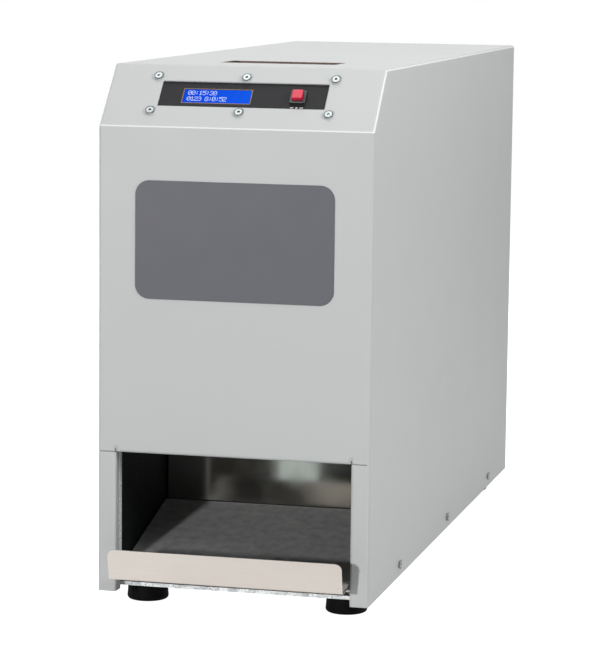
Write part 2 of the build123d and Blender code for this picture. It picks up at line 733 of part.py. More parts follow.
def deflector():
    """Bare upright plate behind the tray. It stands on the base between the chute walls."""
    half = CHUTE_HALF - LINER - GAP
    front = TRAY_LENGTH + DEFLECTOR_GAP
    rear = front + DEFLECTOR_FLANGE
    skin = [(-half, rear), (-half, front), (half, front), (half, rear)]
    outline = sheet_outline(skin, DEFLECTOR_SHEET, THIN_BEND)
    return Pos(0, 0, BASE_TOP) * extrude(outline, GATE_RAIL_UNDER - GAP - BASE_TOP)


def coil_shelf():
    """Bridge over the chute that carries the coil, with a rear leg down to the base."""
    half = CHUTE_HALF + CHUTE_FLANGE
    outline = sheet_outline([
        (BASE_FRONT, SHELF_UNDER), (SHELF_REAR, SHELF_UNDER), (SHELF_REAR, BASE_TOP),
        (SHELF_REAR + SHELF_FOOT, BASE_TOP)], SHELF_SHEET, THIN_BEND)
    shelf = side_profile(outline, -half, half)
    shelf -= around_sleeve(GAP, SHELF_UNDER - REACH, SHELF_TOP + REACH)
    for x, y in tie_spots():
        shelf -= peg((x, y, SHELF_UNDER - REACH), (0, 0, 1), M8_SHANK + SCREW_GAP, 2 * REACH)
    return shelf


def media_sleeve():
    """Insulating tube from the slot in the top, through the coil, to the gate."""
    outer = around_sleeve(0, SLEEVE_UNDER, BODY_HEIGHT)
    return outer - slab(Plane.XY, SLOT_X, SLOT_Y, SLOT_LENGTH, SLOT_WIDTH, SLEEVE_UNDER - REACH,
                        BODY_HEIGHT + REACH, SLOT_CORNER)


def around_sleeve(grow, low, high):
    """Rounded block around the sleeve, grown outwards from it."""
    return slab(Plane.XY, SLOT_X, SLOT_Y, SLEEVE_LENGTH + 2 * grow, SLEEVE_WIDTH + 2 * grow, low, high,
                SLOT_CORNER + SLEEVE_WALL + grow)


def coil_bobbin():
    """Moulded former: a thin core with a flange at each end."""
    flange = GAP + BOBBIN_WALL + COIL_BUILD + BOBBIN_RIM
    former = around_sleeve(GAP + BOBBIN_WALL, BOBBIN_UNDER, BOBBIN_TOP)
    former += around_sleeve(flange, BOBBIN_UNDER, BOBBIN_UNDER + BOBBIN_FLANGE)
    former += around_sleeve(flange, BOBBIN_TOP - BOBBIN_FLANGE, BOBBIN_TOP)
    return former - around_sleeve(GAP, BOBBIN_UNDER - REACH, BOBBIN_TOP + REACH)


def coil_winding():
    """Copper winding on the former, with its two ends led out to the rear."""
    low = BOBBIN_UNDER + BOBBIN_FLANGE + GAP
    high = BOBBIN_TOP - BOBBIN_FLANGE - GAP
    grow = GAP + BOBBIN_WALL + COIL_BUILD
    winding = around_sleeve(grow, low, high)
    winding -= around_sleeve(2 * GAP + BOBBIN_WALL, low - REACH, high + REACH)
    side = SLOT_Y + SLEEVE_WIDTH / 2 + grow
    for z in (low + LEAD_INSET, high - LEAD_INSET):
        winding += peg((SLOT_X, side - LEAD_RADIUS, z), (0, 1, 0), LEAD_RADIUS, LEAD_LENGTH)
    return winding


def clamp_plate_half():
    """Half length and half width of the plates that clamp the coil."""
    grow = GAP + BOBBIN_WALL + COIL_BUILD
    return SLEEVE_LENGTH / 2 + grow + CLAMP_MARGIN_X, SLEEVE_WIDTH / 2 + grow + CLAMP_MARGIN_Y


def tie_spots():
    """Centres of the four bolts that clamp the coil."""
    half_x, half_y = clamp_plate_half()
    across = half_x - TIE_INSET_X
    along = half_y - TIE_INSET_Y
    return [(SLOT_X + a * across, SLOT_Y + b * along) for a in (-1, 1) for b in (-1, 1)]


def coil_clamp_plates():
    """Two insulating plates, under and over the coil."""
    half_x, half_y = clamp_plate_half()
    plates = []
    for low in (SHELF_TOP, BOBBIN_TOP):
        plate = slab(Plane.XY, SLOT_X, SLOT_Y, 2 * half_x, 2 * half_y, low, low + CLAMP_PLATE, CLAMP_CORNER)
        plate -= around_sleeve(GAP, low - REACH, low + CLAMP_PLATE + REACH)
        for x, y in tie_spots():
            plate -= peg((x, y, low - REACH), (0, 0, 1), M8_SHANK + SCREW_GAP, CLAMP_PLATE + 2 * REACH)
        plates.append(plate)
    return group(plates)


def coil_tie_bolts():
    """Long bolts from the upper clamp plate down through the shelf."""
    top = BOBBIN_TOP + CLAMP_PLATE
    length = top - SHELF_UNDER + M8_NUT + THREAD_PAST_NUT
    return group(hexagon((x, y, top), (0, 0, 1), M8_ACROSS, M8_HEAD_HEIGHT)
                 + peg((x, y, top), (0, 0, -1), M8_SHANK, length) for x, y in tie_spots())


def coil_tie_nuts():
    """Nuts under the shelf."""
    return group(nut((x, y, SHELF_UNDER), (0, 0, -1), M8_ACROSS, M8_NUT, M8_SHANK) for x, y in tie_spots())


def gate_flap():
    """Sliding plate that closes the sleeve from below, with a saddle for its pull rod."""
    plate = slab(Plane.XY, SLOT_X, (GATE_FRONT + GATE_REAR) / 2, 2 * GATE_HALF, GATE_REAR - GATE_FRONT,
                 GATE_UNDER, GATE_UNDER + GATE_SHEET, GATE_CORNER)
    saddle_half = GATE_SADDLE_WIDTH / 2
    saddle = block((SLOT_X - saddle_half, SLOT_X + saddle_half), (GATE_REAR - GATE_SADDLE_LENGTH, GATE_REAR),
                   (GATE_AXIS_Z - saddle_half, GATE_UNDER))
    bore = peg((SLOT_X, GATE_REAR - GATE_SADDLE_LENGTH / 2, GATE_AXIS_Z), (0, 1, 0), GATE_SHAFT_RADIUS, REACH)
    return plate + saddle - bore


def gate_pad():
    """Soft pad on the plate that the drive lands on."""
    half = GATE_HALF - GATE_RAIL_BITE - GATE_PAD_INSET
    rear = GATE_REAR - GATE_TAIL - GATE_PAD_INSET
    return block((SLOT_X - half, SLOT_X + half), (GATE_FRONT + GATE_PAD_INSET, rear),
                 (GATE_UNDER + GATE_SHEET, GATE_TOP))


def gate_shaft():
    """Pull rod from the plate's saddle into the drive unit."""
    start = GATE_REAR - GATE_SADDLE_LENGTH / 2
    return peg((SLOT_X, start, GATE_AXIS_Z), (0, 1, 0), GATE_SHAFT_RADIUS, GATE_SHAFT_END - start)


def gate_bearings():
    """Two grooved rails under the shelf that the plate's edges slide in."""
    low_y = GATE_FRONT - GAP
    high_y = GATE_REAR + GATE_TRAVEL + GAP
    inner = SLOT_X + GATE_HALF - GATE_RAIL_BITE
    rail = block((inner, inner + GATE_RAIL_WIDTH), (low_y, high_y), (GATE_RAIL_UNDER, SHELF_UNDER))
    rail -= block((inner - REACH, SLOT_X + GATE_HALF + GAP), (low_y - REACH, high_y + REACH),
                  (GATE_UNDER - GAP, GATE_UNDER + GATE_SHEET + GAP))
    rail -= around_sleeve(GAP, SLEEVE_UNDER - GAP, SHELF_UNDER + REACH)
    return group([rail, mirror(rail, about=Plane(origin=(SLOT_X, 0, 0), z_dir=(1, 0, 0)))])


def gate_motor():
    """Linear drive unit that pulls the gate open, with a blind bore for the rod."""
    bore_end = GATE_SHAFT_END + GATE_TRAVEL + GAP
    length = bore_end + GATE_MOTOR_WALL - GATE_MOTOR_FRONT
    front = (SLOT_X, GATE_MOTOR_FRONT, GATE_AXIS_Z)
    rear = (SLOT_X, GATE_MOTOR_FRONT + length, GATE_AXIS_Z)
    body = peg(front, (0, 1, 0), GATE_MOTOR_RADIUS, length)
    body += peg(rear, (0, 1, 0), GATE_MOTOR_RADIUS / 2, GATE_MOTOR_CAP)
    return body - peg(front, (0, 1, 0), GATE_SHAFT_RADIUS + RUNNING_GAP, bore_end - GATE_MOTOR_FRONT)


def gate_motor_bracket():
    """Angle that hangs from the shelf and holds the drive unit by its face."""
    rear = GATE_MOTOR_FRONT
    front = rear - GATE_BRACKET_SHEET - GATE_BRACKET_FLANGE
    skin = [(rear, GATE_AXIS_Z - GATE_MOTOR_RADIUS), (rear, SHELF_UNDER), (front, SHELF_UNDER)]
    outline = sheet_outline(skin, GATE_BRACKET_SHEET, THIN_BEND)
    bracket = side_profile(outline, SLOT_X - GATE_BRACKET_WIDTH / 2, SLOT_X + GATE_BRACKET_WIDTH / 2)
    return bracket - peg((SLOT_X, rear - REACH, GATE_AXIS_Z), (0, 1, 0), GATE_SHAFT_RADIUS + GAP, 2 * REACH)


def control_panel():
    """Black plate behind the window, with four studs for the display."""
    back = -SHEET - PANEL_SHEET
    width = WINDOW_WIDTH + 2 * PANEL_MARGIN_X
    height = WINDOW_HEIGHT + 2 * PANEL_MARGIN_V
    panel = slab(PANEL_PLANE, 0, WINDOW_CENTRE, width, height, back, -SHEET, PANEL_CORNER)
    grow = 2 * DISPLAY_GAP
    panel -= slab(PANEL_PLANE, DISPLAY_X, DISPLAY_V, DISPLAY_WIDTH + grow, DISPLAY_HEIGHT + grow,
                  back - REACH, REACH, DISPLAY_CORNER)
    panel -= PANEL_PLANE * Pos(BUTTON_X, BUTTON_V, 0) * Cylinder(BUTTON_BARREL + SCREW_GAP, 2 * REACH)
    for u, v in panel_screw_spots():
        panel -= PANEL_PLANE * Pos(u, v, 0) * Cylinder(M4_SHANK + SCREW_GAP, 2 * REACH)
    for u, v in display_stud_spots():
        panel += extrude(PANEL_PLANE * Pos(u, v, back - DISPLAY_DEPTH) * Circle(STUD_RADIUS),
                         DISPLAY_DEPTH + PANEL_SHEET / 2)
    return panel


def display_stud_spots():
    """Places of the studs that carry the display's board."""
    half_u = DISPLAY_WIDTH / 2 + STUD_MARGIN_X
    half_v = DISPLAY_HEIGHT / 2 + STUD_MARGIN_V
    return [(DISPLAY_X + a * half_u, DISPLAY_V + b * half_v) for a in (-1, 1) for b in (-1, 1)]


def display_bezel():
    """Pressed metal frame of the character display."""
    back = -SHEET - PANEL_SHEET
    frame = slab(PANEL_PLANE, DISPLAY_X, DISPLAY_V, DISPLAY_WIDTH + 2 * DISPLAY_BEZEL,
                 DISPLAY_HEIGHT + 2 * DISPLAY_BEZEL, back - DISPLAY_DEPTH, back, DISPLAY_CORNER)
    return frame - slab(PANEL_PLANE, DISPLAY_X, DISPLAY_V, DISPLAY_WIDTH, DISPLAY_HEIGHT, back - DISPLAY_WELL,
                        back + REACH)


def display_glass():
    """Blue display glass in its frame."""
    top = -SHEET - PANEL_SHEET - DISPLAY_GLASS_DROP
    fit = 2 * CLOSE_GAP
    return slab(PANEL_PLANE, DISPLAY_X, DISPLAY_V, DISPLAY_WIDTH - fit, DISPLAY_HEIGHT - fit,
                top - DISPLAY_GLASS, top)


def display_board():
    """Circuit board of the display, on the panel's studs."""
    top = -SHEET - PANEL_SHEET - DISPLAY_DEPTH
    width = DISPLAY_WIDTH + 2 * (STUD_MARGIN_X + STUD_RIM)
    height = DISPLAY_HEIGHT + 2 * (STUD_MARGIN_V + STUD_RIM)
    under = top - BOARD
    circuit = slab(PANEL_PLANE, DISPLAY_X, DISPLAY_V, width, height, under, top)
    return circuit + slab(PANEL_PLANE, DISPLAY_X, DISPLAY_V, CHIP_WIDTH, CHIP_HEIGHT, under - CHIP_DEPTH, under)


def button_body():
    """Switch body: square bezel on the panel, barrel through it and contact block behind."""
    top = BUTTON_BEZEL_HEIGHT - SHEET
    well = BUTTON_CAP + 2 * BUTTON_CAP_GAP
    bezel = slab(PANEL_PLANE, BUTTON_X, BUTTON_V, BUTTON_BEZEL, BUTTON_BEZEL, -SHEET, top, BUTTON_BEZEL_CORNER)
    bezel = chamfer(bezel.faces().sort_by(Axis((0, 0, 0), PANEL_PLANE.z_dir))[-1].edges(), BUTTON_BEZEL_CHAMFER)
    bezel -= slab(PANEL_PLANE, BUTTON_X, BUTTON_V, well, well, BUTTON_FLOOR - SHEET, top + REACH,
                  BUTTON_CAP_CORNER)
    barrel_end = -SHEET - BUTTON_BARREL_LENGTH
    bezel += extrude(PANEL_PLANE * Pos(BUTTON_X, BUTTON_V, barrel_end) * Circle(BUTTON_BARREL),
                     BUTTON_BARREL_LENGTH + BUTTON_FLOOR / 2)
    bezel += slab(PANEL_PLANE, BUTTON_X, BUTTON_V, BUTTON_BLOCK_WIDTH, BUTTON_BLOCK_HEIGHT,
                  barrel_end - BUTTON_BLOCK_LENGTH, barrel_end, BUTTON_BEZEL_CORNER)
    stem_bore = PANEL_PLANE * Pos(BUTTON_X, BUTTON_V, barrel_end) * Circle(BUTTON_STEM + RUNNING_GAP)
    return bezel - extrude(stem_bore, BUTTON_BARREL_LENGTH + REACH)


def button_nut():
    """Nut that clamps the switch body to the panel."""
    seat = PANEL_PLANE.from_local_coords(Vector(BUTTON_X, BUTTON_V, -SHEET - PANEL_SHEET))
    return nut(seat, PANEL_PLANE.z_dir * -1, BUTTON_NUT_ACROSS, BUTTON_NUT, BUTTON_BARREL)


def start_button():
    """Red square cap on its stem."""
    foot = BUTTON_TRAVEL + BUTTON_FLOOR + GAP - SHEET
    cap = slab(PANEL_PLANE, BUTTON_X, BUTTON_V, BUTTON_CAP, BUTTON_CAP, foot, BUTTON_PROUD, BUTTON_CAP_CORNER)
    cap = fillet(cap.faces().sort_by(Axis((0, 0, 0), PANEL_PLANE.z_dir))[-1].edges(), BUTTON_CAP_EDGE)
    stem_length = BUTTON_BARREL_LENGTH - BUTTON_TRAVEL - BUTTON_STEM_END_GAP
    stem = PANEL_PLANE * Pos(BUTTON_X, BUTTON_V, foot - stem_length) * Circle(BUTTON_STEM)
    return cap + extrude(stem, stem_length)


def panel_screws():
    """Screws through the sloped face that hold the control panel."""
    inward = PANEL_PLANE.z_dir * -1
    seats = [PANEL_PLANE.from_local_coords(Vector(u, v, 0)) for u, v in panel_screw_spots()]
    return group(button_screw(seat, inward, PANEL_SCREW_LENGTH) for seat in seats)


def panel_nuts():
    """Nuts behind the control panel."""
    inward = PANEL_PLANE.z_dir * -1
    seats = [PANEL_PLANE.from_local_coords(Vector(u, v, -SHEET - PANEL_SHEET)) for u, v in panel_screw_spots()]
    return group(nut(seat, inward, M4_ACROSS, M4_NUT, M4_SHANK) for seat in seats)


def front_label():
    """Blank rounded plate on the front face."""
    return slab(FRONT_PLANE, 0, LABEL_MIDDLE, LABEL_WIDTH, LABEL_HEIGHT, 0, LABEL_THICKNESS, LABEL_CORNER)


def can_spots():
    """Centres of the capacitors, as X and Y."""
    columns = [(index - (CAN_COLUMNS - 1) / 2) * CAN_PITCH for index in range(CAN_COLUMNS)]
    return [(column, CAN_FIRST_Y + row * CAN_PITCH) for column in columns for row in (0, 1)]


def capacitors():
    """Bank of screw-terminal cans on the base."""
    crimp = CAN_HEIGHT - CAN_CRIMP_DROP
    deck = CAN_HEIGHT - CAN_RECESS
    profile = make_face(Polyline(
        (0, 0), (CAN_RADIUS, 0), (CAN_RADIUS, crimp - CAN_CRIMP), (CAN_RADIUS - CAN_CRIMP, crimp),
        (CAN_RADIUS, crimp + CAN_CRIMP), (CAN_RADIUS, CAN_HEIGHT), (CAN_RADIUS - CAN_RIM, CAN_HEIGHT),
        (CAN_RADIUS - CAN_RIM, deck), (0, deck), close=True))
    can = revolve(Plane.XZ * profile, Axis.Z)
    for end in (-1, 1):
        can += peg((0, end * CAN_TERMINAL, deck), (0, 0, 1), CAN_TERMINAL_RADIUS,
                   CAN_RECESS + CAN_TERMINAL_PROUD)
    return group(Pos(x, y, BASE_TOP) * can for x, y in can_spots())


def capacitor_clamps():
    """Band round the foot of each can, with two lugs on the base."""
    band = ring((0, 0, 0), (0, 0, 1), CAN_RADIUS + GAP + CLAMP_BAND, CAN_RADIUS + GAP, CLAMP_HEIGHT)
    lug = block((CAN_RADIUS + GAP + CLAMP_BAND / 2, CAN_RADIUS + CLAMP_LUG_REACH),
                (-CLAMP_LUG_WIDTH / 2, CLAMP_LUG_WIDTH / 2), (0, CLAMP_LUG_SHEET))
    for angle in (45, 225):
        band += Rot(0, 0, angle) * lug
    return group(Pos(x, y, BASE_TOP) * band for x, y in can_spots())


def bus_bars():
    """Two copper combs that join the cans in parallel."""
    levels = (TERMINAL_TOP, TERMINAL_TOP + BAR_THICKNESS)
    reach = (CAN_COLUMNS - 1) / 2 * CAN_PITCH + BAR_WIDTH / 2
    link = reach + BAR_WIDTH + BAR_OVERHANG
    bars = []
    for end in (-1, 1):
        rows = [CAN_FIRST_Y + end * CAN_TERMINAL + row * CAN_PITCH for row in (0, 1)]
        bar = block(sorted((end * link, end * (link - BAR_WIDTH))),
                    (rows[0] - BAR_WIDTH / 2, rows[1] + BAR_WIDTH / 2), levels)
        for row in rows:
            bar += block(sorted((-end * reach, end * link)), (row - BAR_WIDTH / 2, row + BAR_WIDTH / 2), levels)
        bars.append(bar)
    return group(bars)


def bus_bar_bolts():
    """Hexagonal bolt heads on the terminals."""
    low = TERMINAL_TOP + BAR_THICKNESS
    return group(hexagon((x, y + end * CAN_TERMINAL, low), (0, 0, 1), M5_ACROSS, BAR_BOLT_HEAD)
                 for x, y in can_spots() for end in (-1, 1))


def mid_bulkhead():
    """Upright plate on the shelf that carries the circuit boards."""
    outline = sheet_outline([(BULKHEAD_Y - BULKHEAD_FOOT, SHELF_TOP), (BULKHEAD_Y, SHELF_TOP),
                             (BULKHEAD_Y, BULKHEAD_TOP)], BULKHEAD_SHEET, THIN_BEND)
    return side_profile(outline, -CHUTE_HALF, CHUTE_HALF)


def board(width, height, front_y, toward, parts):
    """Circuit board on edge below the boards' top line, with blocks for its larger parts.

    Each part is given as shares of the board's size (left, low, width, height), then of the usual depth.
    """
    low_x = -width / 2
    low_z = BOARD_TOP - height
    piece = block((low_x, -low_x), (front_y, front_y + BOARD), (low_z, BOARD_TOP))
    for left, low, across, tall, depth in parts:
        near = front_y - depth * BOARD_PART_DEPTH if toward < 0 else front_y + BOARD
        far = near + depth * BOARD_PART_DEPTH
        piece += block((low_x + left * width, low_x + (left + across) * width), (near, far),
                       (low_z + low * height, low_z + (low + tall) * height))
    return piece


def control_board():
    """Logic board on the front of the bulkhead."""
    face = BULKHEAD_Y - BULKHEAD_SHEET - STANDOFF - BOARD
    parts = [(0.08, 0.63, 0.12, 0.15, 0.3), (0.33, 0.21, 0.25, 0.13, 0.6), (0.75, 0.16, 0.15, 0.42, 1.5),
             (0.17, 0.16, 0.07, 0.25, 0.9), (0.5, 0.63, 0.28, 0.21, 1.0)]
    return board(CONTROL_BOARD_WIDTH, CONTROL_BOARD_HEIGHT, face, -1, parts)


def charger_board():
    """High voltage charging board on the rear of the bulkhead."""
    face = BULKHEAD_Y + STANDOFF
    parts = [(0.07, 0.12, 0.21, 0.27, 3.0), (0.35, 0.12, 0.15, 0.16, 3.4), (0.59, 0.12, 0.15, 0.16, 3.4),
             (0.12, 0.67, 0.12, 0.22, 1.6), (0.41, 0.55, 0.35, 0.24, 1.2), (0.82, 0.18, 0.12, 0.36, 2.2)]
    return board(CHARGER_BOARD_WIDTH, CHARGER_BOARD_HEIGHT, face, 1, parts)


def board_standoffs():
    """Posts between the bulkhead and the two boards."""
    posts = []
    sides = ((BULKHEAD_Y - BULKHEAD_SHEET, -1, CONTROL_BOARD_WIDTH, CONTROL_BOARD_HEIGHT),
             (BULKHEAD_Y, 1, CHARGER_BOARD_WIDTH, CHARGER_BOARD_HEIGHT))
    for start, toward, width, height in sides:
        half = width / 2 - STANDOFF_INSET
        for x in (-half, half):
            for z in (BOARD_TOP - STANDOFF_INSET, BOARD_TOP - height + STANDOFF_INSET):
                posts.append(peg((x, start, z), (0, toward, 0), STANDOFF_RADIUS, STANDOFF))
    return group(posts)


def heatsink():
    """Extruded heat sink on two feet on the base, its fins towards the left wall."""
    fins_end = HEATSINK_X + FIN_LENGTH
    levels = (BASE_TOP, BASE_TOP + HEATSINK_HEIGHT)
    sink = block((fins_end, MODULE_X), (HEATSINK_Y, HEATSINK_Y + HEATSINK_LENGTH), levels)
    pitch = (HEATSINK_LENGTH - FIN_THICKNESS) / (FIN_COUNT - 1)
    for index in range(FIN_COUNT):
        near = HEATSINK_Y + index * pitch
        sink += block((HEATSINK_X, fins_end), (near, near + FIN_THICKNESS), levels)
    arch = (HEATSINK_Y + HEATSINK_FOOT, HEATSINK_Y + HEATSINK_LENGTH - HEATSINK_FOOT)
    return sink - block((HEATSINK_X - REACH, MODULE_X + REACH), arch, (BASE_TOP - REACH, BASE_TOP + HEATSINK_RELIEF))


def thyristor_module():
    """Switch module bolted to the flat of the heat sink, with three contact pads."""
    middle = HEATSINK_Y + HEATSINK_LENGTH / 2
    face = MODULE_X + MODULE_HEIGHT
    low = BASE_TOP + MODULE_LOW
    body = block((MODULE_X, face), (middle - MODULE_WIDTH / 2, middle + MODULE_WIDTH / 2),
                 (low, low + MODULE_LENGTH))
    centre = low + MODULE_LENGTH / 2
    for z in (centre - PAD_PITCH, centre, centre + PAD_PITCH):
        body += block((face, face + PAD_PROUD), (middle - PAD_SIZE / 2, middle + PAD_SIZE / 2),
                      (z - PAD_SIZE / 2, z + PAD_SIZE / 2))
    return body


def bleed_resistor():
    """Tube resistor behind the transformer, between two angles."""
    start = (CORE_X - RESISTOR_LENGTH / 2, RESISTOR_Y, BASE_TOP + RESISTOR_HEIGHT)
    return ring(start, (1, 0, 0), RESISTOR_RADIUS, RESISTOR_BORE, RESISTOR_LENGTH)


def resistor_brackets():
    """Angles at the ends of the resistor, with feet turned outwards on the base."""
    end = CORE_X + RESISTOR_LENGTH / 2
    top = BASE_TOP + RESISTOR_BRACKET_HEIGHT
    skin = [(end, top), (end, BASE_TOP), (end + RESISTOR_BRACKET_FOOT, BASE_TOP)]
    outline = sheet_outline(skin, RESISTOR_SHEET, THIN_BEND)
    front = RESISTOR_Y - RESISTOR_BRACKET_WIDTH / 2
    angle = front_profile(outline, front, front + RESISTOR_BRACKET_WIDTH)
    return group([angle, mirror(angle, about=Plane(origin=(CORE_X, 0, 0), z_dir=(1, 0, 0)))])


def transformer_core():
    """Laminated core with two windows."""
    top = CORE_UNDER + CORE_HEIGHT
    half = CORE_WIDTH / 2
    core = block((CORE_X - half, CORE_X + half), (CORE_Y, CORE_Y + CORE_STACK), (CORE_UNDER, top))
    through = (CORE_Y - REACH, CORE_Y + CORE_STACK + REACH)
    for end in (-1, 1):
        middle = CORE_X + end * 1.5 * CORE_LEG
        core -= block((middle - CORE_LEG / 2, middle + CORE_LEG / 2), through,
                      (CORE_UNDER + CORE_LEG, top - CORE_LEG))
    return core


def transformer_coil():
    """Winding round the core's middle leg."""
    low = CORE_UNDER + CORE_LEG + GAP
    high = CORE_UNDER + CORE_HEIGHT - CORE_LEG - GAP
    outer = slab(Plane.XY, CORE_X, CORE_Y + CORE_STACK / 2, 2 * (CORE_LEG + CORE_COIL),
                 CORE_STACK + 2 * CORE_COIL, low, high, CORE_COIL_CORNER)
    inner = CORE_LEG + GAP
    return outer - block((CORE_X - inner, CORE_X + inner), (CORE_Y - GAP, CORE_Y + CORE_STACK + GAP),
                         (low - REACH, high + REACH))


def transformer_feet():
    """Two strips between the core and the base, with bolt ears."""
    half = CORE_WIDTH / 2 + CORE_FOOT_WIDTH
    width = (CORE_X - half, CORE_X + half)
    rows = (CORE_Y + CORE_FOOT_INSET, CORE_Y + CORE_STACK - CORE_FOOT_INSET - CORE_FOOT_WIDTH)
    return group(block(width, (y, y + CORE_FOOT_WIDTH), (BASE_TOP, CORE_UNDER)) for y in rows)


def fan_hole_spots():
    """Places of the fan's mounting holes, as X and Z."""
    half = FAN_HOLE_PITCH / 2
    return [(FAN_X + a * half, FAN_Z + b * half) for a in (-1, 1) for b in (-1, 1)]


def rear_panel():
    """Rear wall with the fan opening, vents and mains cut-outs, on a flange on the base."""
    half = INNER_HALF - BEND
    panel = block((-half, half), (REAR_INSIDE, REAR_OUTSIDE), (BASE_TOP, BODY_HEIGHT - SHEET - BEND))
    flange_half = half - BASE_SHEET
    outline = sheet_outline([(REAR_OUTSIDE - REAR_FLANGE, BASE_TOP), (REAR_OUTSIDE, BASE_TOP),
                             (REAR_OUTSIDE, BASE_TOP + REAR_FLANGE_HEIGHT)], SHEET, THIN_BEND)
    panel += side_profile(outline, -flange_half, flange_half)
    start = REAR_INSIDE - REACH
    panel -= peg((FAN_X, start, FAN_Z), (0, 1, 0), FAN_BORE, 2 * REACH)
    for x, z in fan_hole_spots():
        panel -= peg((x, start, z), (0, 1, 0), M4_SHANK + SCREW_GAP, 2 * REACH)
    for x, z in rear_screw_spots():
        panel -= peg((x, start, z), (0, 1, 0), M4_SHANK + CLOSE_GAP, 2 * REACH)
    grow = 2 * SCREW_GAP
    panel -= slab(REAR_PLANE, -INLET_X, INLET_Z, INLET_WIDTH + grow, INLET_HEIGHT + grow, -REACH, REACH,
                  INLET_CORNER)
    panel -= slab(REAR_PLANE, -INLET_X, SWITCH_Z, SWITCH_WIDTH + grow, SWITCH_HEIGHT + grow, -REACH, REACH,
                  SWITCH_CORNER)
    for index in range(VENT_COUNT):
        panel -= slab(REAR_PLANE, -FAN_X, VENT_LOW + index * VENT_PITCH, VENT_WIDTH, VENT_HEIGHT, -REACH, REACH,
                      VENT_CORNER)
    return panel


def fan_plane(y):
    """Plane across the fan's axis at a distance behind the front face, looking out of the rear."""
    return Plane(origin=(FAN_X, y, FAN_Z), x_dir=(-1, 0, 0), z_dir=(0, 1, 0))


def fan_housing():
    """Square fan frame with its motor seat on four struts."""
    plane = fan_plane(REAR_INSIDE - FAN_DEPTH)
    frame = slab(plane, 0, 0, FAN_SIZE, FAN_SIZE, 0, FAN_DEPTH, FAN_CORNER)
    frame -= plane * Cylinder(FAN_BORE, 4 * FAN_DEPTH)
    for a in (-1, 1):
        for b in (-1, 1):
            spot = Pos(a * FAN_HOLE_PITCH / 2, b * FAN_HOLE_PITCH / 2, 0)
            frame -= plane * spot * Cylinder(M4_SHANK + SCREW_GAP, 4 * FAN_DEPTH)
    frame += extrude(plane * Circle(FAN_SEAT_RADIUS), FAN_SEAT)
    near = FAN_SEAT_RADIUS - FAN_STRUT / 2
    far = FAN_BORE + FAN_STRUT / 4
    for angle in (0, 90, 180, 270):
        strut = Pos((near + far) / 2, 0, FAN_SEAT / 2) * Box(far - near, FAN_STRUT, FAN_SEAT)
        frame += plane * Rot(0, 0, angle) * strut
    return frame + extrude(plane * Circle(FAN_PIN_RADIUS), FAN_PIN_LENGTH)


def fan_rotor():
    """Hub with pitched blades, on the pin of the motor seat."""
    plane = fan_plane(REAR_INSIDE - FAN_DEPTH + FAN_SEAT + GAP)
    hub = extrude(plane * Circle(FAN_HUB_RADIUS), FAN_HUB_LENGTH)
    rotor = fillet(hub.edges().sort_by(Axis.Y)[-1], FAN_HUB_EDGE)
    reach = FAN_BORE - FAN_TIP_GAP
    sweep = extrude(plane * Circle(reach), FAN_HUB_LENGTH)
    root = FAN_HUB_RADIUS - BLADE_ROOT
    blade = Box(reach - root + BLADE_ROOT, BLADE_WIDTH, BLADE_THICKNESS)
    blade = Pos((root + reach + BLADE_ROOT) / 2, 0, FAN_HUB_LENGTH / 2) * Rot(BLADE_PITCH, 0, 0) * blade
    for index in range(FAN_BLADES):
        rotor += (plane * Rot(0, 0, 360 * index / FAN_BLADES) * blade) & sweep
    return rotor - extrude(plane * Circle(FAN_PIN_RADIUS + RUNNING_GAP), FAN_PIN_LENGTH - FAN_SEAT + GAP)


def fan_guard():
    """Wire guard over the fan opening: rings, spokes and four feet."""
    plane = fan_plane(REAR_OUTSIDE)
    low = GUARD_PROUD - GUARD_WIRE
    guard = None
    for index in range(GUARD_HOOPS):
        radius = GUARD_FIRST_HOOP + GUARD_HOOP_PITCH * index
        outline = Circle(radius + GUARD_WIRE / 2) - Circle(radius - GUARD_WIRE / 2)
        hoop = extrude(plane * Pos(0, 0, low) * outline, GUARD_WIRE)
        guard = hoop if guard is None else guard + hoop
    hole = FAN_HOLE_PITCH / math.sqrt(2)
    near = GUARD_FIRST_HOOP - GUARD_WIRE / 2
    leg_at = hole - GUARD_LEG_INSET
    for angle in (45, 135, 225, 315):
        spoke = Box(leg_at - near, GUARD_WIRE, GUARD_WIRE)
        spoke = Pos((near + leg_at) / 2, 0, low - GUARD_WIRE / 2 + GUARD_SINK) * spoke
        leg = Pos(leg_at, 0, low / 2) * Box(GUARD_WIRE, GUARD_WIRE, low)
        pad = Box(GUARD_PAD_LENGTH, GUARD_PAD_WIDTH, GUARD_PAD)
        pad = Pos(hole - GUARD_LEG_INSET / 3, 0, GUARD_PAD / 2) * pad
        pad -= Pos(hole, 0, 0) * Cylinder(M4_SHANK + SCREW_GAP, 4 * GUARD_PAD)
        guard += plane * Rot(0, 0, angle) * (spoke + leg + pad)
    return guard


def fan_screws():
    """Long screws that hold the guard and the fan."""
    seat = REAR_OUTSIDE + GUARD_PAD
    length = FAN_DEPTH + FAN_SCREW_PAST
    return group(button_screw((x, seat, z), (0, -1, 0), length, M4_SHANK, M4_HEAD, FAN_SCREW_HEAD)
                 for x, z in fan_hole_spots())


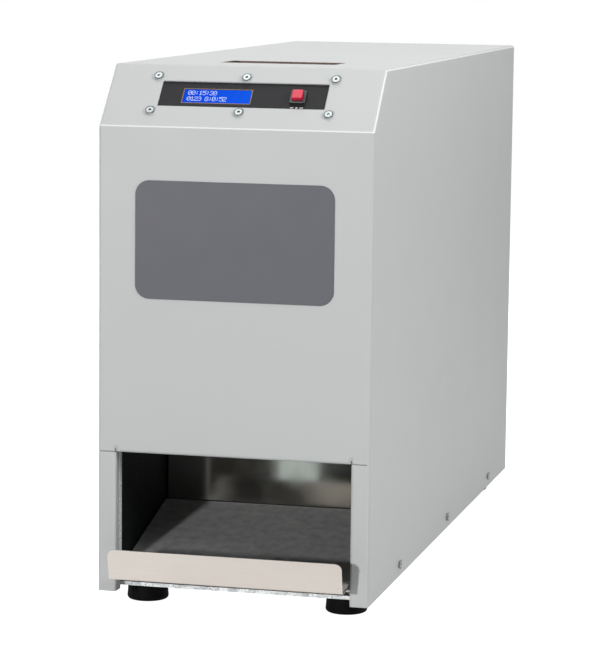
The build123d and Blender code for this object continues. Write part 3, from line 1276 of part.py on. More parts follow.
def power_inlet():
    """Mains inlet: flange, body and a recessed socket with three blades."""
    u = -INLET_X
    wall = 2 * INLET_WALL
    inlet = slab(REAR_PLANE, u, INLET_Z, INLET_FLANGE_WIDTH, INLET_FLANGE_HEIGHT, 0, INLET_FLANGE,
                 2 * INLET_CORNER)
    inlet += slab(REAR_PLANE, u, INLET_Z, INLET_WIDTH, INLET_HEIGHT, -INLET_DEPTH, GAP, INLET_CORNER)
    inlet -= slab(REAR_PLANE, u, INLET_Z, INLET_WIDTH - wall, INLET_HEIGHT - wall, -INLET_SOCKET_DEPTH, REACH,
                  INLET_CORNER)
    for du, dv in ((-BLADE_PIN_X, -BLADE_PIN_DROP), (0, BLADE_PIN_RISE), (BLADE_PIN_X, -BLADE_PIN_DROP)):
        inlet += slab(REAR_PLANE, u + du, INLET_Z + dv, BLADE_PIN_WIDTH, BLADE_PIN_HEIGHT,
                      -INLET_SOCKET_DEPTH - GAP, -BLADE_PIN_SETBACK)
    for end in (-1, 1):
        inlet += extrude(REAR_PLANE * Pos(u + end * INLET_RIVET_X, INLET_Z, INLET_FLANGE) * Circle(INLET_RIVET),
                         INLET_RIVET_PROUD)
    return inlet


def switch_body():
    """Frame of the rocker switch."""
    wide = SWITCH_WIDTH + 2 * SWITCH_WALL
    tall = SWITCH_HEIGHT + 2 * SWITCH_WALL
    body = slab(REAR_PLANE, -INLET_X, SWITCH_Z, wide, tall, 0, SWITCH_FLANGE, SWITCH_CORNER)
    body += slab(REAR_PLANE, -INLET_X, SWITCH_Z, SWITCH_WIDTH, SWITCH_HEIGHT, -SWITCH_DEPTH, GAP, SWITCH_CORNER)
    return body - slab(REAR_PLANE, -INLET_X, SWITCH_Z, SWITCH_WIDTH - 2 * SWITCH_WALL,
                       SWITCH_HEIGHT - 2 * SWITCH_WALL, -SWITCH_SOCKET_DEPTH, REACH, SWITCH_CORNER)


def switch_rocker():
    """Rocker of the mains switch, at rest with its lower half pressed in."""
    half = ROCKER_HALF
    outline = make_face(Polyline(
        (-half, -ROCKER_FOOT), (-half, ROCKER_RISE), (0, ROCKER_DIP), (half, ROCKER_RISE),
        (half, -ROCKER_FOOT), (0, -ROCKER_KEEL), close=True))
    rocker = extrude(Plane.YZ * outline, ROCKER_HALF_WIDTH, both=True)
    upright = Rot(-90, 0, 0) * rocker
    return Pos(INLET_X, REAR_OUTSIDE, SWITCH_Z) * Rot(-ROCKER_TILT, 0, 0) * upright


PIECES = {
    "cover": cover,
    "base_tray": base_tray,
    "rear_panel": rear_panel,
    "feet": feet,
    "foot_bolts": foot_bolts,
    "cover_screws": cover_screws,
    "corner_bracket": corner_bracket,
    "chute_side_right": chute_side,
    "chute_side_left": lambda: mirror(chute_side(), about=Plane.YZ),
    "chute_liners": chute_liners,
    "deflector": deflector,
    "coil_shelf": coil_shelf,
    "catch_tray": catch_tray,
    "tray_mat": tray_mat,
    "front_label": front_label,
    "control_panel": control_panel,
    "panel_screws": panel_screws,
    "panel_nuts": panel_nuts,
    "display_bezel": display_bezel,
    "display_glass": display_glass,
    "display_board": display_board,
    "button_body": button_body,
    "button_nut": button_nut,
    "start_button": start_button,
    "media_sleeve": media_sleeve,
    "coil_bobbin": coil_bobbin,
    "coil_winding": coil_winding,
    "coil_clamp_plates": coil_clamp_plates,
    "coil_tie_bolts": coil_tie_bolts,
    "coil_tie_nuts": coil_tie_nuts,
    "gate_flap": gate_flap,
    "gate_pad": gate_pad,
    "gate_shaft": gate_shaft,
    "gate_bearings": gate_bearings,
    "gate_motor": gate_motor,
    "gate_motor_bracket": gate_motor_bracket,
    "mid_bulkhead": mid_bulkhead,
    "control_board": control_board,
    "charger_board": charger_board,
    "board_standoffs": board_standoffs,
    "capacitors": capacitors,
    "capacitor_clamps": capacitor_clamps,
    "bus_bars": bus_bars,
    "bus_bar_bolts": bus_bar_bolts,
    "heatsink": heatsink,
    "thyristor_module": thyristor_module,
    "bleed_resistor": bleed_resistor,
    "resistor_brackets": resistor_brackets,
    "transformer_core": transformer_core,
    "transformer_coil": transformer_coil,
    "transformer_feet": transformer_feet,
    "fan_housing": fan_housing,
    "fan_rotor": fan_rotor,
    "fan_guard": fan_guard,
    "fan_screws": fan_screws,
    "power_inlet": power_inlet,
    "switch_body": switch_body,
    "switch_rocker": switch_rocker,
}

os.makedirs("parts", exist_ok=True)
for name, make in PIECES.items():
    export_step(PART_ORIGIN * make(), f"parts/{name}.step")
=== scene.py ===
import json
import math
import bpy
from mathutils import Matrix, Vector

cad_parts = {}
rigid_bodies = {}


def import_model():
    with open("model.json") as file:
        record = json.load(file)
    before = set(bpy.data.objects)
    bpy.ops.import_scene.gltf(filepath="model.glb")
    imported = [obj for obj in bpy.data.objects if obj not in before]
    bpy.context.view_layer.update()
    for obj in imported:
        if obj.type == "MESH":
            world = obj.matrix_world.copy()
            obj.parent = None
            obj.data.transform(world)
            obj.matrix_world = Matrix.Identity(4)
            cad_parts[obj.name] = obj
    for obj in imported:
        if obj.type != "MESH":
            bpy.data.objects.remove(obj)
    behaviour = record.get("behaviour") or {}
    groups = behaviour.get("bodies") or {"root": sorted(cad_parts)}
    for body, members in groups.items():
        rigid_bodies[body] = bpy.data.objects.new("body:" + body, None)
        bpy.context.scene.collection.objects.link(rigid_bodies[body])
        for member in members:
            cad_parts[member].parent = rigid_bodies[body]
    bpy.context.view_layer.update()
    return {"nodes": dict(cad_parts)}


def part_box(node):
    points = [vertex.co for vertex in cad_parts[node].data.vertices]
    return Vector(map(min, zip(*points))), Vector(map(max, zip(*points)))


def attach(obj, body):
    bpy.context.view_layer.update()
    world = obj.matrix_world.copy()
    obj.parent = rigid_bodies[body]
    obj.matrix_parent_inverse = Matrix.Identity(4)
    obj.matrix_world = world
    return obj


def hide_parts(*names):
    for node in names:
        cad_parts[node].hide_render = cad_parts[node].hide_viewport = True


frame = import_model()
bpy.ops.object.select_all(action="DESELECT")

# Desktop hard drive degausser. All sizes are in metres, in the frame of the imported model.
# Places along the cover's slope are given as u across and v up from its lower bend.

COVER_LOW, COVER_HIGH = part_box("cover")
FRONT_Y = COVER_LOW.y
COVER_FOOT = COVER_LOW.z
SLOPE_FOOT = 0.4376
SLOPE_RUN = 0.0513
SLOPE_RISE = COVER_HIGH.z - COVER_FOOT - SLOPE_FOOT
SHEET = 0.0015
PANEL_SHEET = 0.002

# Rise of the normal on the cover's folds, where a painted highlight lightens the coat: the middle of the
# range, and how far it runs either way
BEND_MIDDLE = 0.36
BEND_SPAN = 0.28

# Where the mask of rubbed edges (on the screw heads a dark rim of painted shade) starts and is full, and the
# same for the pores of a zinc coat
EDGE_STARTS = 0.995
EDGE_FULL = 0.86
PORE_STARTS = 0.56
PORE_FULL = 0.64

# Camera, fitted to the photograph
CAMERA_PLACE = (0.67909, -2.85148, 0.62216)
CAMERA_YAW = 13.725
CAMERA_PITCH = -7.65
CAMERA_ROLL = -0.66
IMAGE_WIDTH = 615
IMAGE_HEIGHT = 650
FOCAL_PIXELS = 2838
SENSOR = 36.0

# Cards before the bay: how far out they stand, how tall they are, and their edges from left to right
CARD_Y = -0.56
CARD_TOP = 0.085
CARD_EDGES = (-0.45, -0.091, -0.044, 0.30)

# Button head screws
M4_SHANK = 0.00195
M4_HEAD = 0.0035
M4_RISE = 0.0017
SOCKET_ACROSS = 0.0025
SOCKET_DEPTH = 0.0012
SIDE_SCREW_FIRST = 0.139
SIDE_SCREW_PITCH = 0.240
SIDE_SCREW_COUNT = 3
SIDE_SCREW_HEIGHT = 0.012
UPPER_SCREW_SETBACK = 0.070
UPPER_SCREW_DROP = 0.033
REAR_SCREW_LOW = 0.060
REAR_SCREW_PITCH = 0.150
REAR_RIM = 0.014
REAR_TOP_SCREWS = 0.55
COVER_SCREW_LENGTH = 0.006
PANEL_SCREW_LENGTH = 0.009
PANEL_SCREW_TURN = 23
PANEL_SCREW_U = 0.0845
PANEL_SCREW_V = 0.02085
WINDOW_V = 0.0396

# Display and button
DISPLAY_U = -0.025
DISPLAY_V = 0.0392
DISPLAY_WIDTH = 0.0645
DISPLAY_HEIGHT = 0.0162
FRAME_OUT = 0.00075
FRAME_IN = 0.00005
GLASS_DEPTH = 0.0019
DOT = 0.00062
DOT_PITCH = 0.00074
CHARACTER_PITCH = 0.003432
LINE_PITCH = 0.0070
TEXT_MARGIN = 0.0042
TEXT_RISE = 0.0060
TEXT = ("00:15:30", "0123 8:0:52")
BUTTON_U = 0.0524
LEGEND_V = 0.0276
LEGEND_HEIGHT = 0.0024
LEGEND_WIDTH = 0.0120

# Tray mat and gate pad
TRAY_BEND = 0.0142
TRAY_SLOPE = 14.5
MAT_THICKNESS = 0.0036
MAT_REAR_GAP = 0.0004
MAT_RIM = 0.0009
MAT_CUTS = 24
MAT_LUMPS = 0.03
MAT_DIP = 0.0007
PAD_RIM = 0.0007
PAD_MARGIN = 0.006
PAD_DIP = 0.0002

# Cut edges of the chute walls, and the notches at the corners of the bay
HEM_WIDTH = 0.0012
HEM_DEPTH = 0.0060
OPENING_HALF = 0.1125
OPENING_HEIGHT = 0.133
SEAM = 0.0005
NOTCH_WIDTH = 0.0016
NOTCH_HEIGHT = 0.006
SLIT_IN = 0.0001
SLIT_OUT = 0.0008
SLIT_HEIGHT = 0.0032

# Fan guard
GUARD_WIRE = 0.0018
GUARD_PROUD = 0.007
GUARD_HOOPS = (0.010, 0.019, 0.028, 0.037)
GUARD_SPOKE_START = 0.009
GUARD_LEG_INSET = 0.006
FAN_HOLE_REACH = 0.0715 / math.sqrt(2)

# Marks on the rocker switch
MARK_THICKNESS = 0.00006
ROCKER_UPPER = (0.070, 0.3841, 0.1396)
ROCKER_UPPER_NORMAL = (0, 0.933, -0.360)
ROCKER_LOWER = (0.070, 0.38233, 0.1295)
ROCKER_LOWER_NORMAL = (0, 1.0, 0.018)

# Each digit of the display, as seven rows of five dots
DIGITS = {
    "0": "01110 10001 10011 10101 11001 10001 01110",
    "1": "00100 01100 00100 00100 00100 00100 01110",
    "2": "01110 10001 00001 00110 01000 10000 11111",
    "3": "01110 10001 00001 00110 00001 10001 01110",
    "5": "11111 10000 11110 00001 00001 10001 01110",
    "8": "01110 10001 10001 01110 10001 10001 01110",
    ":": "00000 00100 00100 00000 00100 00100 00000",
}


def slope_frame():
    """Axes of the sloped face: u across, v up the slope, w outwards, from the middle of its lower bend."""
    length = math.hypot(SLOPE_RUN, SLOPE_RISE)
    v = Vector((0, SLOPE_RUN, SLOPE_RISE)) / length
    w = Vector((0, -SLOPE_RISE, SLOPE_RUN)) / length
    matrix = Matrix((Vector((1, 0, 0)), v, w)).transposed().to_4x4()
    matrix.translation = Vector((0, FRONT_Y, COVER_FOOT + SLOPE_FOOT))
    return matrix


SLOPE = slope_frame()


# Shader groups shared by several finishes


def new_group(name, inputs, outputs):
    """Empty shader group with named sockets."""
    tree = bpy.data.node_groups.new(name, "ShaderNodeTree")
    for label, kind in inputs:
        tree.interface.new_socket(label, in_out="INPUT", socket_type="NodeSocket" + kind)
    for label, kind in outputs:
        tree.interface.new_socket(label, in_out="OUTPUT", socket_type="NodeSocket" + kind)
    return tree, tree.nodes.new("NodeGroupInput").outputs, tree.nodes.new("NodeGroupOutput").inputs


def add_node(tree, kind, links=None, **settings):
    """Node of a kind, with its settings, and its input sockets set or linked."""
    node = tree.nodes.new(kind)
    for name, value in settings.items():
        setattr(node, name, value)
    for name, value in (links or {}).items():
        if isinstance(value, bpy.types.NodeSocket):
            tree.links.new(value, node.inputs[name])
        else:
            node.inputs[name].default_value = value
    return node


def add_noise(tree, place, scale, detail):
    """Height of a cloudy noise."""
    links = {"Vector": place, "Scale": scale, "Detail": detail}
    return add_node(tree, "ShaderNodeTexNoise", links).outputs["Fac"]


def grain_group():
    """Fine unevenness of a coated or moulded surface, whose sharp edges shade as rounded ones."""
    tree, given, out = new_group(
        "fine_grain", [("Vector", "Vector"), ("Scale", "Float"), ("Depth", "Float"), ("Rounding", "Float")],
        [("Normal", "Vector"), ("Mask", "Float")])
    rounded = add_node(tree, "ShaderNodeBevel", {"Radius": given["Rounding"]}, samples=8)
    noise = add_noise(tree, given["Vector"], given["Scale"], 3)
    bump = add_node(tree, "ShaderNodeBump", {"Strength": 1.0, "Distance": given["Depth"], "Height": noise,
                                             "Normal": rounded.outputs["Normal"]})
    tree.links.new(bump.outputs["Normal"], out["Normal"])
    tree.links.new(noise, out["Mask"])
    return tree


def drift_group():
    """Slow change of a colour's depth from place to place."""
    tree, given, out = new_group(
        "tone_drift", [("Vector", "Vector"), ("Colour", "Color"), ("Scale", "Float"), ("Amount", "Float")],
        [("Colour", "Color")])
    noise = add_noise(tree, given["Vector"], given["Scale"], 4)
    centred = add_node(tree, "ShaderNodeMath", {0: noise, 1: 0.5}, operation="SUBTRACT")
    depth = add_node(tree, "ShaderNodeMath", {0: centred.outputs[0], 1: given["Amount"], 2: 1.0},
                     operation="MULTIPLY_ADD")
    tint = add_node(tree, "ShaderNodeHueSaturation", {"Value": depth.outputs[0], "Color": given["Colour"]})
    tree.links.new(tint.outputs["Color"], out["Colour"])
    return tree


def sheen_group():
    """Roughness that changes a little from place to place."""
    tree, given, out = new_group(
        "gloss_drift",
        [("Vector", "Vector"), ("Roughness", "Float"), ("Scale", "Float"), ("Amount", "Float")],
        [("Roughness", "Float")])
    noise = add_noise(tree, given["Vector"], given["Scale"], 5)
    centred = add_node(tree, "ShaderNodeMath", {0: noise, 1: 0.5}, operation="SUBTRACT")
    rough = add_node(tree, "ShaderNodeMath",
                     {0: centred.outputs[0], 1: given["Amount"], 2: given["Roughness"]},
                     operation="MULTIPLY_ADD")
    tree.links.new(rough.outputs[0], out["Roughness"])
    return tree


def edge_group():
    """Mask of the edges that hands and tools rub, also used for a dark rim of painted shade round the screw
    heads.
    """
    tree, given, out = new_group(
        "rubbed_edges_and_rim_shade", [("Vector", "Vector"), ("Width", "Float"), ("Amount", "Float")],
        [("Mask", "Float")])
    rounded = add_node(tree, "ShaderNodeBevel", {"Radius": given["Width"]}, samples=6)
    flat = add_node(tree, "ShaderNodeNewGeometry")
    match = add_node(tree, "ShaderNodeVectorMath",
                     {0: rounded.outputs["Normal"], 1: flat.outputs["Normal"]}, operation="DOT_PRODUCT")
    edge = add_node(tree, "ShaderNodeMapRange", {"Value": match.outputs["Value"], "From Min": EDGE_STARTS,
                                                 "From Max": EDGE_FULL, "To Min": 0.0, "To Max": 1.0})
    noise = add_noise(tree, given["Vector"], 160.0, 4)
    broken = add_node(tree, "ShaderNodeMath", {0: edge.outputs["Result"], 1: noise}, operation="MULTIPLY")
    share = add_node(tree, "ShaderNodeMath", {0: broken.outputs[0], 1: given["Amount"]},
                     operation="MULTIPLY", use_clamp=True)
    tree.links.new(share.outputs[0], out["Mask"])
    return tree


def brush_group():
    """Fine parallel scratches; the stretch sets how they run."""
    tree, given, out = new_group(
        "brushed_lines", [("Vector", "Vector"), ("Stretch", "Vector"), ("Depth", "Float")],
        [("Mask", "Float"), ("Normal", "Vector")])
    along = add_node(tree, "ShaderNodeVectorMath", {0: given["Vector"], 1: given["Stretch"]},
                     operation="MULTIPLY")
    noise = add_noise(tree, along.outputs["Vector"], 1.0, 4)
    bump = add_node(tree, "ShaderNodeBump", {"Strength": 1.0, "Distance": given["Depth"], "Height": noise})
    tree.links.new(noise, out["Mask"])
    tree.links.new(bump.outputs["Normal"], out["Normal"])
    return tree


def spangle_group():
    """Crystals of a zinc coat, each with its own tone, and pores between them."""
    tree, given, out = new_group(
        "zinc_spangle", [("Vector", "Vector"), ("Scale", "Float"), ("Depth", "Float")],
        [("Tone", "Float"), ("Pores", "Float"), ("Normal", "Vector")])
    cells = add_node(tree, "ShaderNodeTexVoronoi", {"Vector": given["Vector"], "Scale": given["Scale"]})
    split = add_node(tree, "ShaderNodeSeparateColor", {"Color": cells.outputs["Color"]})
    fine = add_node(tree, "ShaderNodeMath", {0: given["Scale"], 1: 6.0}, operation="MULTIPLY")
    noise = add_noise(tree, given["Vector"], fine.outputs[0], 5)
    pores = add_node(tree, "ShaderNodeMapRange",
                     {"Value": noise, "From Min": PORE_STARTS, "From Max": PORE_FULL})
    bump = add_node(tree, "ShaderNodeBump", {"Strength": 1.0, "Distance": given["Depth"],
                                             "Height": split.outputs["Red"]})
    tree.links.new(split.outputs["Red"], out["Tone"])
    tree.links.new(pores.outputs["Result"], out["Pores"])
    tree.links.new(bump.outputs["Normal"], out["Normal"])
    return tree


GRAIN = grain_group()
DRIFT = drift_group()
GLOSS = sheen_group()
EDGES = edge_group()
BRUSH = brush_group()
SPANGLE = spangle_group()


# Finishes


def new_finish(name, metallic=0.0, **uniform):
    """Plain material. Returns it with its tree, its shader's inputs and the object's coordinates."""
    material = bpy.data.materials.new(name + "_finish")
    material.use_nodes = True
    tree = material.node_tree
    shader = tree.nodes["Principled BSDF"]
    shader.inputs["Metallic"].default_value = metallic
    for label, value in uniform.items():
        shader.inputs[label.replace("_", " ")].default_value = value
    place = tree.nodes.new("ShaderNodeTexCoord").outputs["Object"]
    return material, tree, shader.inputs, place


def use_group(tree, group, **given):
    """One use of a shared group, with its own values."""
    node = tree.nodes.new("ShaderNodeGroup")
    node.node_tree = group
    for name, value in given.items():
        if isinstance(value, bpy.types.NodeSocket):
            tree.links.new(value, node.inputs[name])
        else:
            node.inputs[name].default_value = value
    return node.outputs


def blend_colours(tree, share, first, second):
    """Mix of two colours by a mask."""
    mix = tree.nodes.new("ShaderNodeMix")
    mix.data_type = "RGBA"
    tree.links.new(share, mix.inputs["Factor"])
    for socket, value in ((mix.inputs[6], first), (mix.inputs[7], second)):
        if isinstance(value, bpy.types.NodeSocket):
            tree.links.new(value, socket)
        else:
            socket.default_value = (*value, 1)
    return mix.outputs[2]


def painted_bend_highlight_mask(tree):
    """Mask of the folds between an upright face and one that leans back, where a painted highlight lightens
    the coat.
    """
    turn = tree.nodes.new("ShaderNodeTexCoord").outputs["Normal"]
    apart = add_node(tree, "ShaderNodeSeparateXYZ", {"Vector": turn})
    away = add_node(tree, "ShaderNodeMath", {0: apart.outputs["Z"], 1: BEND_MIDDLE}, operation="SUBTRACT")
    size = add_node(tree, "ShaderNodeMath", {0: away.outputs[0]}, operation="ABSOLUTE")
    return add_node(tree, "ShaderNodeMapRange", {"Value": size.outputs[0], "From Min": BEND_SPAN,
                                                 "From Max": BEND_SPAN * 0.6}).outputs["Result"]


def coated(name, colour, roughness, drift=0.08, drift_scale=9.0, grain=900.0, depth=0.00001,
           edge_tone=None, wear_width=0.0008, painted_bend_highlight=None, metallic=0.0, rounding=0.0, **uniform):
    """Coated, moulded or painted surface: drifting tone and gloss, fine grain, rubbed edges if asked, and a
    painted highlight along the folds if asked.
    """
    material, tree, shader, place = new_finish(name, metallic, **uniform)
    tone = use_group(tree, DRIFT, Vector=place, Colour=(*colour, 1), Scale=drift_scale,
                     Amount=drift)["Colour"]
    if edge_tone:
        mask = use_group(tree, EDGES, Vector=place, Width=wear_width, Amount=1.0)["Mask"]
        tone = blend_colours(tree, mask, tone, edge_tone)
    if painted_bend_highlight:
        tone = blend_colours(tree, painted_bend_highlight_mask(tree), tone, painted_bend_highlight)
    gloss = use_group(tree, GLOSS, Vector=place, Roughness=roughness, Scale=drift_scale * 5,
                      Amount=0.12)
    fine = use_group(tree, GRAIN, Vector=place, Scale=grain, Depth=depth, Rounding=rounding)
    tree.links.new(tone, shader["Base Color"])
    tree.links.new(gloss["Roughness"], shader["Roughness"])
    tree.links.new(fine["Normal"], shader["Normal"])
    return material


def brushed(name, colour, roughness, stretch, depth=0.000004, contrast=0.1, edge_tone=(0.9, 0.88, 0.84)):
    """Brushed bare metal whose cut edges have a tone of their own; on the screw heads that edge tone is a
    dark rim of painted shade.
    """
    material, tree, shader, place = new_finish(name, 1.0)
    lines = use_group(tree, BRUSH, Vector=place, Stretch=stretch, Depth=depth)
    darker = tuple(channel * (1 - contrast) for channel in colour)
    tone = blend_colours(tree, lines["Mask"], colour, darker)
    tone = use_group(tree, DRIFT, Vector=place, Colour=tone, Scale=12.0, Amount=0.10)["Colour"]
    mask = use_group(tree, EDGES, Vector=place, Width=0.0006, Amount=1.6)["Mask"]
    tone = blend_colours(tree, mask, tone, edge_tone)
    gloss = use_group(tree, GLOSS, Vector=place, Roughness=roughness, Scale=40.0, Amount=0.14)
    tree.links.new(tone, shader["Base Color"])
    tree.links.new(gloss["Roughness"], shader["Roughness"])
    tree.links.new(lines["Normal"], shader["Normal"])
    return material


def galvanised(name, light, dark, roughness):
    """Zinc coat with spangles and dark pores."""
    material, tree, shader, place = new_finish(name, 0.85)
    zinc = use_group(tree, SPANGLE, Vector=place, Scale=150.0, Depth=0.00003)
    tone = blend_colours(tree, zinc["Tone"], light, dark)
    tone = blend_colours(tree, zinc["Pores"], tone, (0.12, 0.12, 0.12))
    gloss = use_group(tree, GLOSS, Vector=place, Roughness=roughness, Scale=60.0, Amount=0.3)
    tree.links.new(tone, shader["Base Color"])
    tree.links.new(gloss["Roughness"], shader["Roughness"])
    tree.links.new(zinc["Normal"], shader["Normal"])
    return material


def banded(name, light, dark, roughness, axis, pitch, metallic=0.0, depth=0.0002):
    """Surface made of turns or laminations: narrow bands along an axis."""
    material, tree, shader, place = new_finish(name, metallic)
    wave = add_node(tree, "ShaderNodeTexWave", {"Vector": place, "Scale": 0.5 / pitch / math.pi,
                                                "Distortion": 0.4, "Detail": 1.0},
                    wave_type="BANDS", bands_direction=axis, wave_profile="SIN")
    tone = blend_colours(tree, wave.outputs["Fac"], dark, light)
    tone = use_group(tree, DRIFT, Vector=place, Colour=tone, Scale=30.0, Amount=0.25)["Colour"]
    bump = add_node(tree, "ShaderNodeBump",
                    {"Strength": 1.0, "Distance": depth, "Height": wave.outputs["Fac"]})
    gloss = use_group(tree, GLOSS, Vector=place, Roughness=roughness, Scale=50.0, Amount=0.15)
    tree.links.new(tone, shader["Base Color"])
    tree.links.new(gloss["Roughness"], shader["Roughness"])
    tree.links.new(bump.outputs["Normal"], shader["Normal"])
    return material


def circuit_board(name):
    """Green solder mask with paler tracks under it."""
    material, tree, shader, place = new_finish(name)
    tracks = add_node(tree, "ShaderNodeTexBrick", {
        "Vector": place, "Scale": 90.0, "Color1": (0.02, 0.14, 0.05, 1), "Color2": (0.03, 0.18, 0.07, 1),
        "Mortar": (0.10, 0.26, 0.10, 1), "Mortar Size": 0.04})
    tone = use_group(tree, DRIFT, Vector=place, Colour=tracks.outputs["Color"], Scale=60.0,
                     Amount=0.3)["Colour"]
    fine = use_group(tree, GRAIN, Vector=place, Scale=700.0, Depth=0.00002)
    gloss = use_group(tree, GLOSS, Vector=place, Roughness=0.35, Scale=90.0, Amount=0.2)
    tree.links.new(tone, shader["Base Color"])
    tree.links.new(gloss["Roughness"], shader["Roughness"])
    tree.links.new(fine["Normal"], shader["Normal"])
    return material


def lit_display(name):
    """Backlit blue glass, a little brighter to the right."""
    material, tree, shader, place = new_finish(name, Specular_IOR_Level=0.0, Emission_Strength=0.33)
    apart = add_node(tree, "ShaderNodeSeparateXYZ", {"Vector": place})
    across = add_node(tree, "ShaderNodeMapRange", {"Value": apart.outputs["X"],
                                                   "From Min": DISPLAY_U - DISPLAY_WIDTH / 2,
                                                   "From Max": DISPLAY_U + DISPLAY_WIDTH / 2})
    tone = blend_colours(tree, across.outputs["Result"], (0.004, 0.05, 0.52), (0.006, 0.075, 0.60))
    tone = use_group(tree, DRIFT, Vector=place, Colour=tone, Scale=120.0, Amount=0.2)["Colour"]
    gloss = use_group(tree, GLOSS, Vector=place, Roughness=0.25, Scale=90.0, Amount=0.1)
    tree.links.new(tone, shader["Base Color"])
    tree.links.new(tone, shader["Emission Color"])
    tree.links.new(gloss["Roughness"], shader["Roughness"])
    return material


FINISHES = {
    # The powder coat is paler on its folds: a painted highlight along the bends.
    "powder_coat": coated(
        "powder_coat", (0.575, 0.592, 0.587), 0.42, drift=0.05, drift_scale=4.0, grain=800.0, depth=0.000008,
        rounding=0.0016, painted_bend_highlight=(0.92, 0.93, 0.93), Specular_IOR_Level=0.25),
    "galvanised": galvanised("galvanised", (0.68, 0.70, 0.70), (0.40, 0.42, 0.43), 0.42),
    "stainless": brushed("stainless", (0.77, 0.71, 0.655), 0.30, (30, 700, 700)),
    "bright_plate": brushed(
        "bright_plate", (0.32, 0.32, 0.305), 0.11, (900, 900, 25), depth=0.000002, contrast=0.16),
    "black_steel": coated("black_steel", (0.03, 0.03, 0.032), 0.45, edge_tone=(0.25, 0.25, 0.25)),
    "zinc_steel": brushed("zinc_steel", (0.74, 0.76, 0.76), 0.20, (400, 400, 400), contrast=0.15),
    "foot_rubber": coated(
        "foot_rubber", (0.004, 0.004, 0.0042), 0.62, drift=0.5, drift_scale=60, grain=500, depth=0.00005,
        edge_tone=(0.014, 0.014, 0.014), Specular_IOR_Level=0.06),
    "mat_rubber": coated(
        "mat_rubber", (0.26, 0.258, 0.258), 0.9, drift=0.9, drift_scale=110, grain=420, depth=0.00012,
        Specular_IOR_Level=0.2, Sheen_Weight=1.0, Sheen_Roughness=0.3),
    "liner_black": coated(
        "liner_black", (0.005, 0.006, 0.0065), 0.5, drift=0.4, drift_scale=20, Specular_IOR_Level=0.15),
    "label_grey": coated(
        "label_grey", (0.120, 0.120, 0.143), 0.45, drift=0.04, grain=1400, depth=0.000006,
        edge_tone=(0.24, 0.24, 0.26), wear_width=0.0004, Specular_IOR_Level=0.25),
    "panel_black": coated(
        "panel_black", (0.018, 0.018, 0.020), 0.6, drift=0.3, drift_scale=90, grain=1300, depth=0.00004,
        edge_tone=(0.10, 0.10, 0.10), wear_width=0.0004, Specular_IOR_Level=0.2),
    "display_metal": coated(
        "display_metal", (0.22, 0.15, 0.07), 0.4, metallic=0.6, drift=0.5, drift_scale=300),
    "display_blue": lit_display("display_blue"),
    "display_dots": coated(
        "display_dots", (0.50, 0.60, 0.90), 0.4, drift=0.1, drift_scale=300,
        Emission_Color=(0.7, 0.8, 1, 1), Emission_Strength=0.15),
    "circuit_board": circuit_board("circuit_board"),
    "button_black": coated(
        "button_black", (0.02, 0.02, 0.021), 0.35, grain=1200, edge_tone=(0.22, 0.22, 0.22), wear_width=0.0003),
    "button_red": coated(
        "button_red", (0.66, 0.010, 0.050), 0.36, drift=0.12, drift_scale=200, grain=1000, Coat_Weight=0.1),
    "legend_white": coated("legend_white", (0.75, 0.75, 0.75), 0.6, drift=0.2, drift_scale=900),
    "phenolic": coated(
        "phenolic", (0.07, 0.028, 0.018), 0.5, drift=0.35, drift_scale=40, edge_tone=(0.26, 0.15, 0.09)),
    "bobbin_resin": coated("bobbin_resin", (0.35, 0.33, 0.28), 0.5, drift=0.15, drift_scale=25),
    "copper": banded(
        "copper", (0.72, 0.32, 0.16), (0.32, 0.11, 0.05), 0.32, "Z", 0.004, metallic=0.9),
    "can_sleeve": coated(
        "can_sleeve", (0.03, 0.05, 0.16), 0.38, drift=0.2, drift_scale=25, edge_tone=(0.08, 0.1, 0.22)),
    "core_steel": banded(
        "core_steel", (0.17, 0.17, 0.18), (0.05, 0.05, 0.055), 0.5, "Y", 0.0012, metallic=0.6, depth=0.00008),
    "winding_tape": banded("winding_tape", (0.72, 0.52, 0.12), (0.55, 0.37, 0.06), 0.45, "Z", 0.012),
    "aluminium": brushed("aluminium", (0.62, 0.63, 0.64), 0.34, (500, 500, 20)),
    "resistor_enamel": coated("resistor_enamel", (0.05, 0.16, 0.1), 0.25, drift=0.25, drift_scale=50),
    "fan_black": coated("fan_black", (0.02, 0.02, 0.02), 0.42, grain=900, edge_tone=(0.09, 0.09, 0.09)),
    "guard_chrome": brushed("guard_chrome", (0.80, 0.81, 0.82), 0.14, (200, 200, 200), contrast=0.05),
    # Near-white speckled diffuse colour for the walls' cut edges: a painted highlight standing in for the
    # glint of bare metal in shade.
    "cut_edge_glint": coated(
        "cut_edge_glint", (0.90, 0.91, 0.90), 0.5, drift=1.3, drift_scale=420, grain=700, depth=0.0001),
    # The screws' dark edge tone is a ring of painted shade round the rim of each head.
    "screw_zinc": brushed(
        "screw_zinc", (0.36, 0.385, 0.39), 0.26, (300, 300, 300), contrast=0.2, edge_tone=(0.05, 0.075, 0.08)),
    "mark_white": coated("mark_white", (0.8, 0.8, 0.8), 0.5, drift=0.1, drift_scale=500),
}

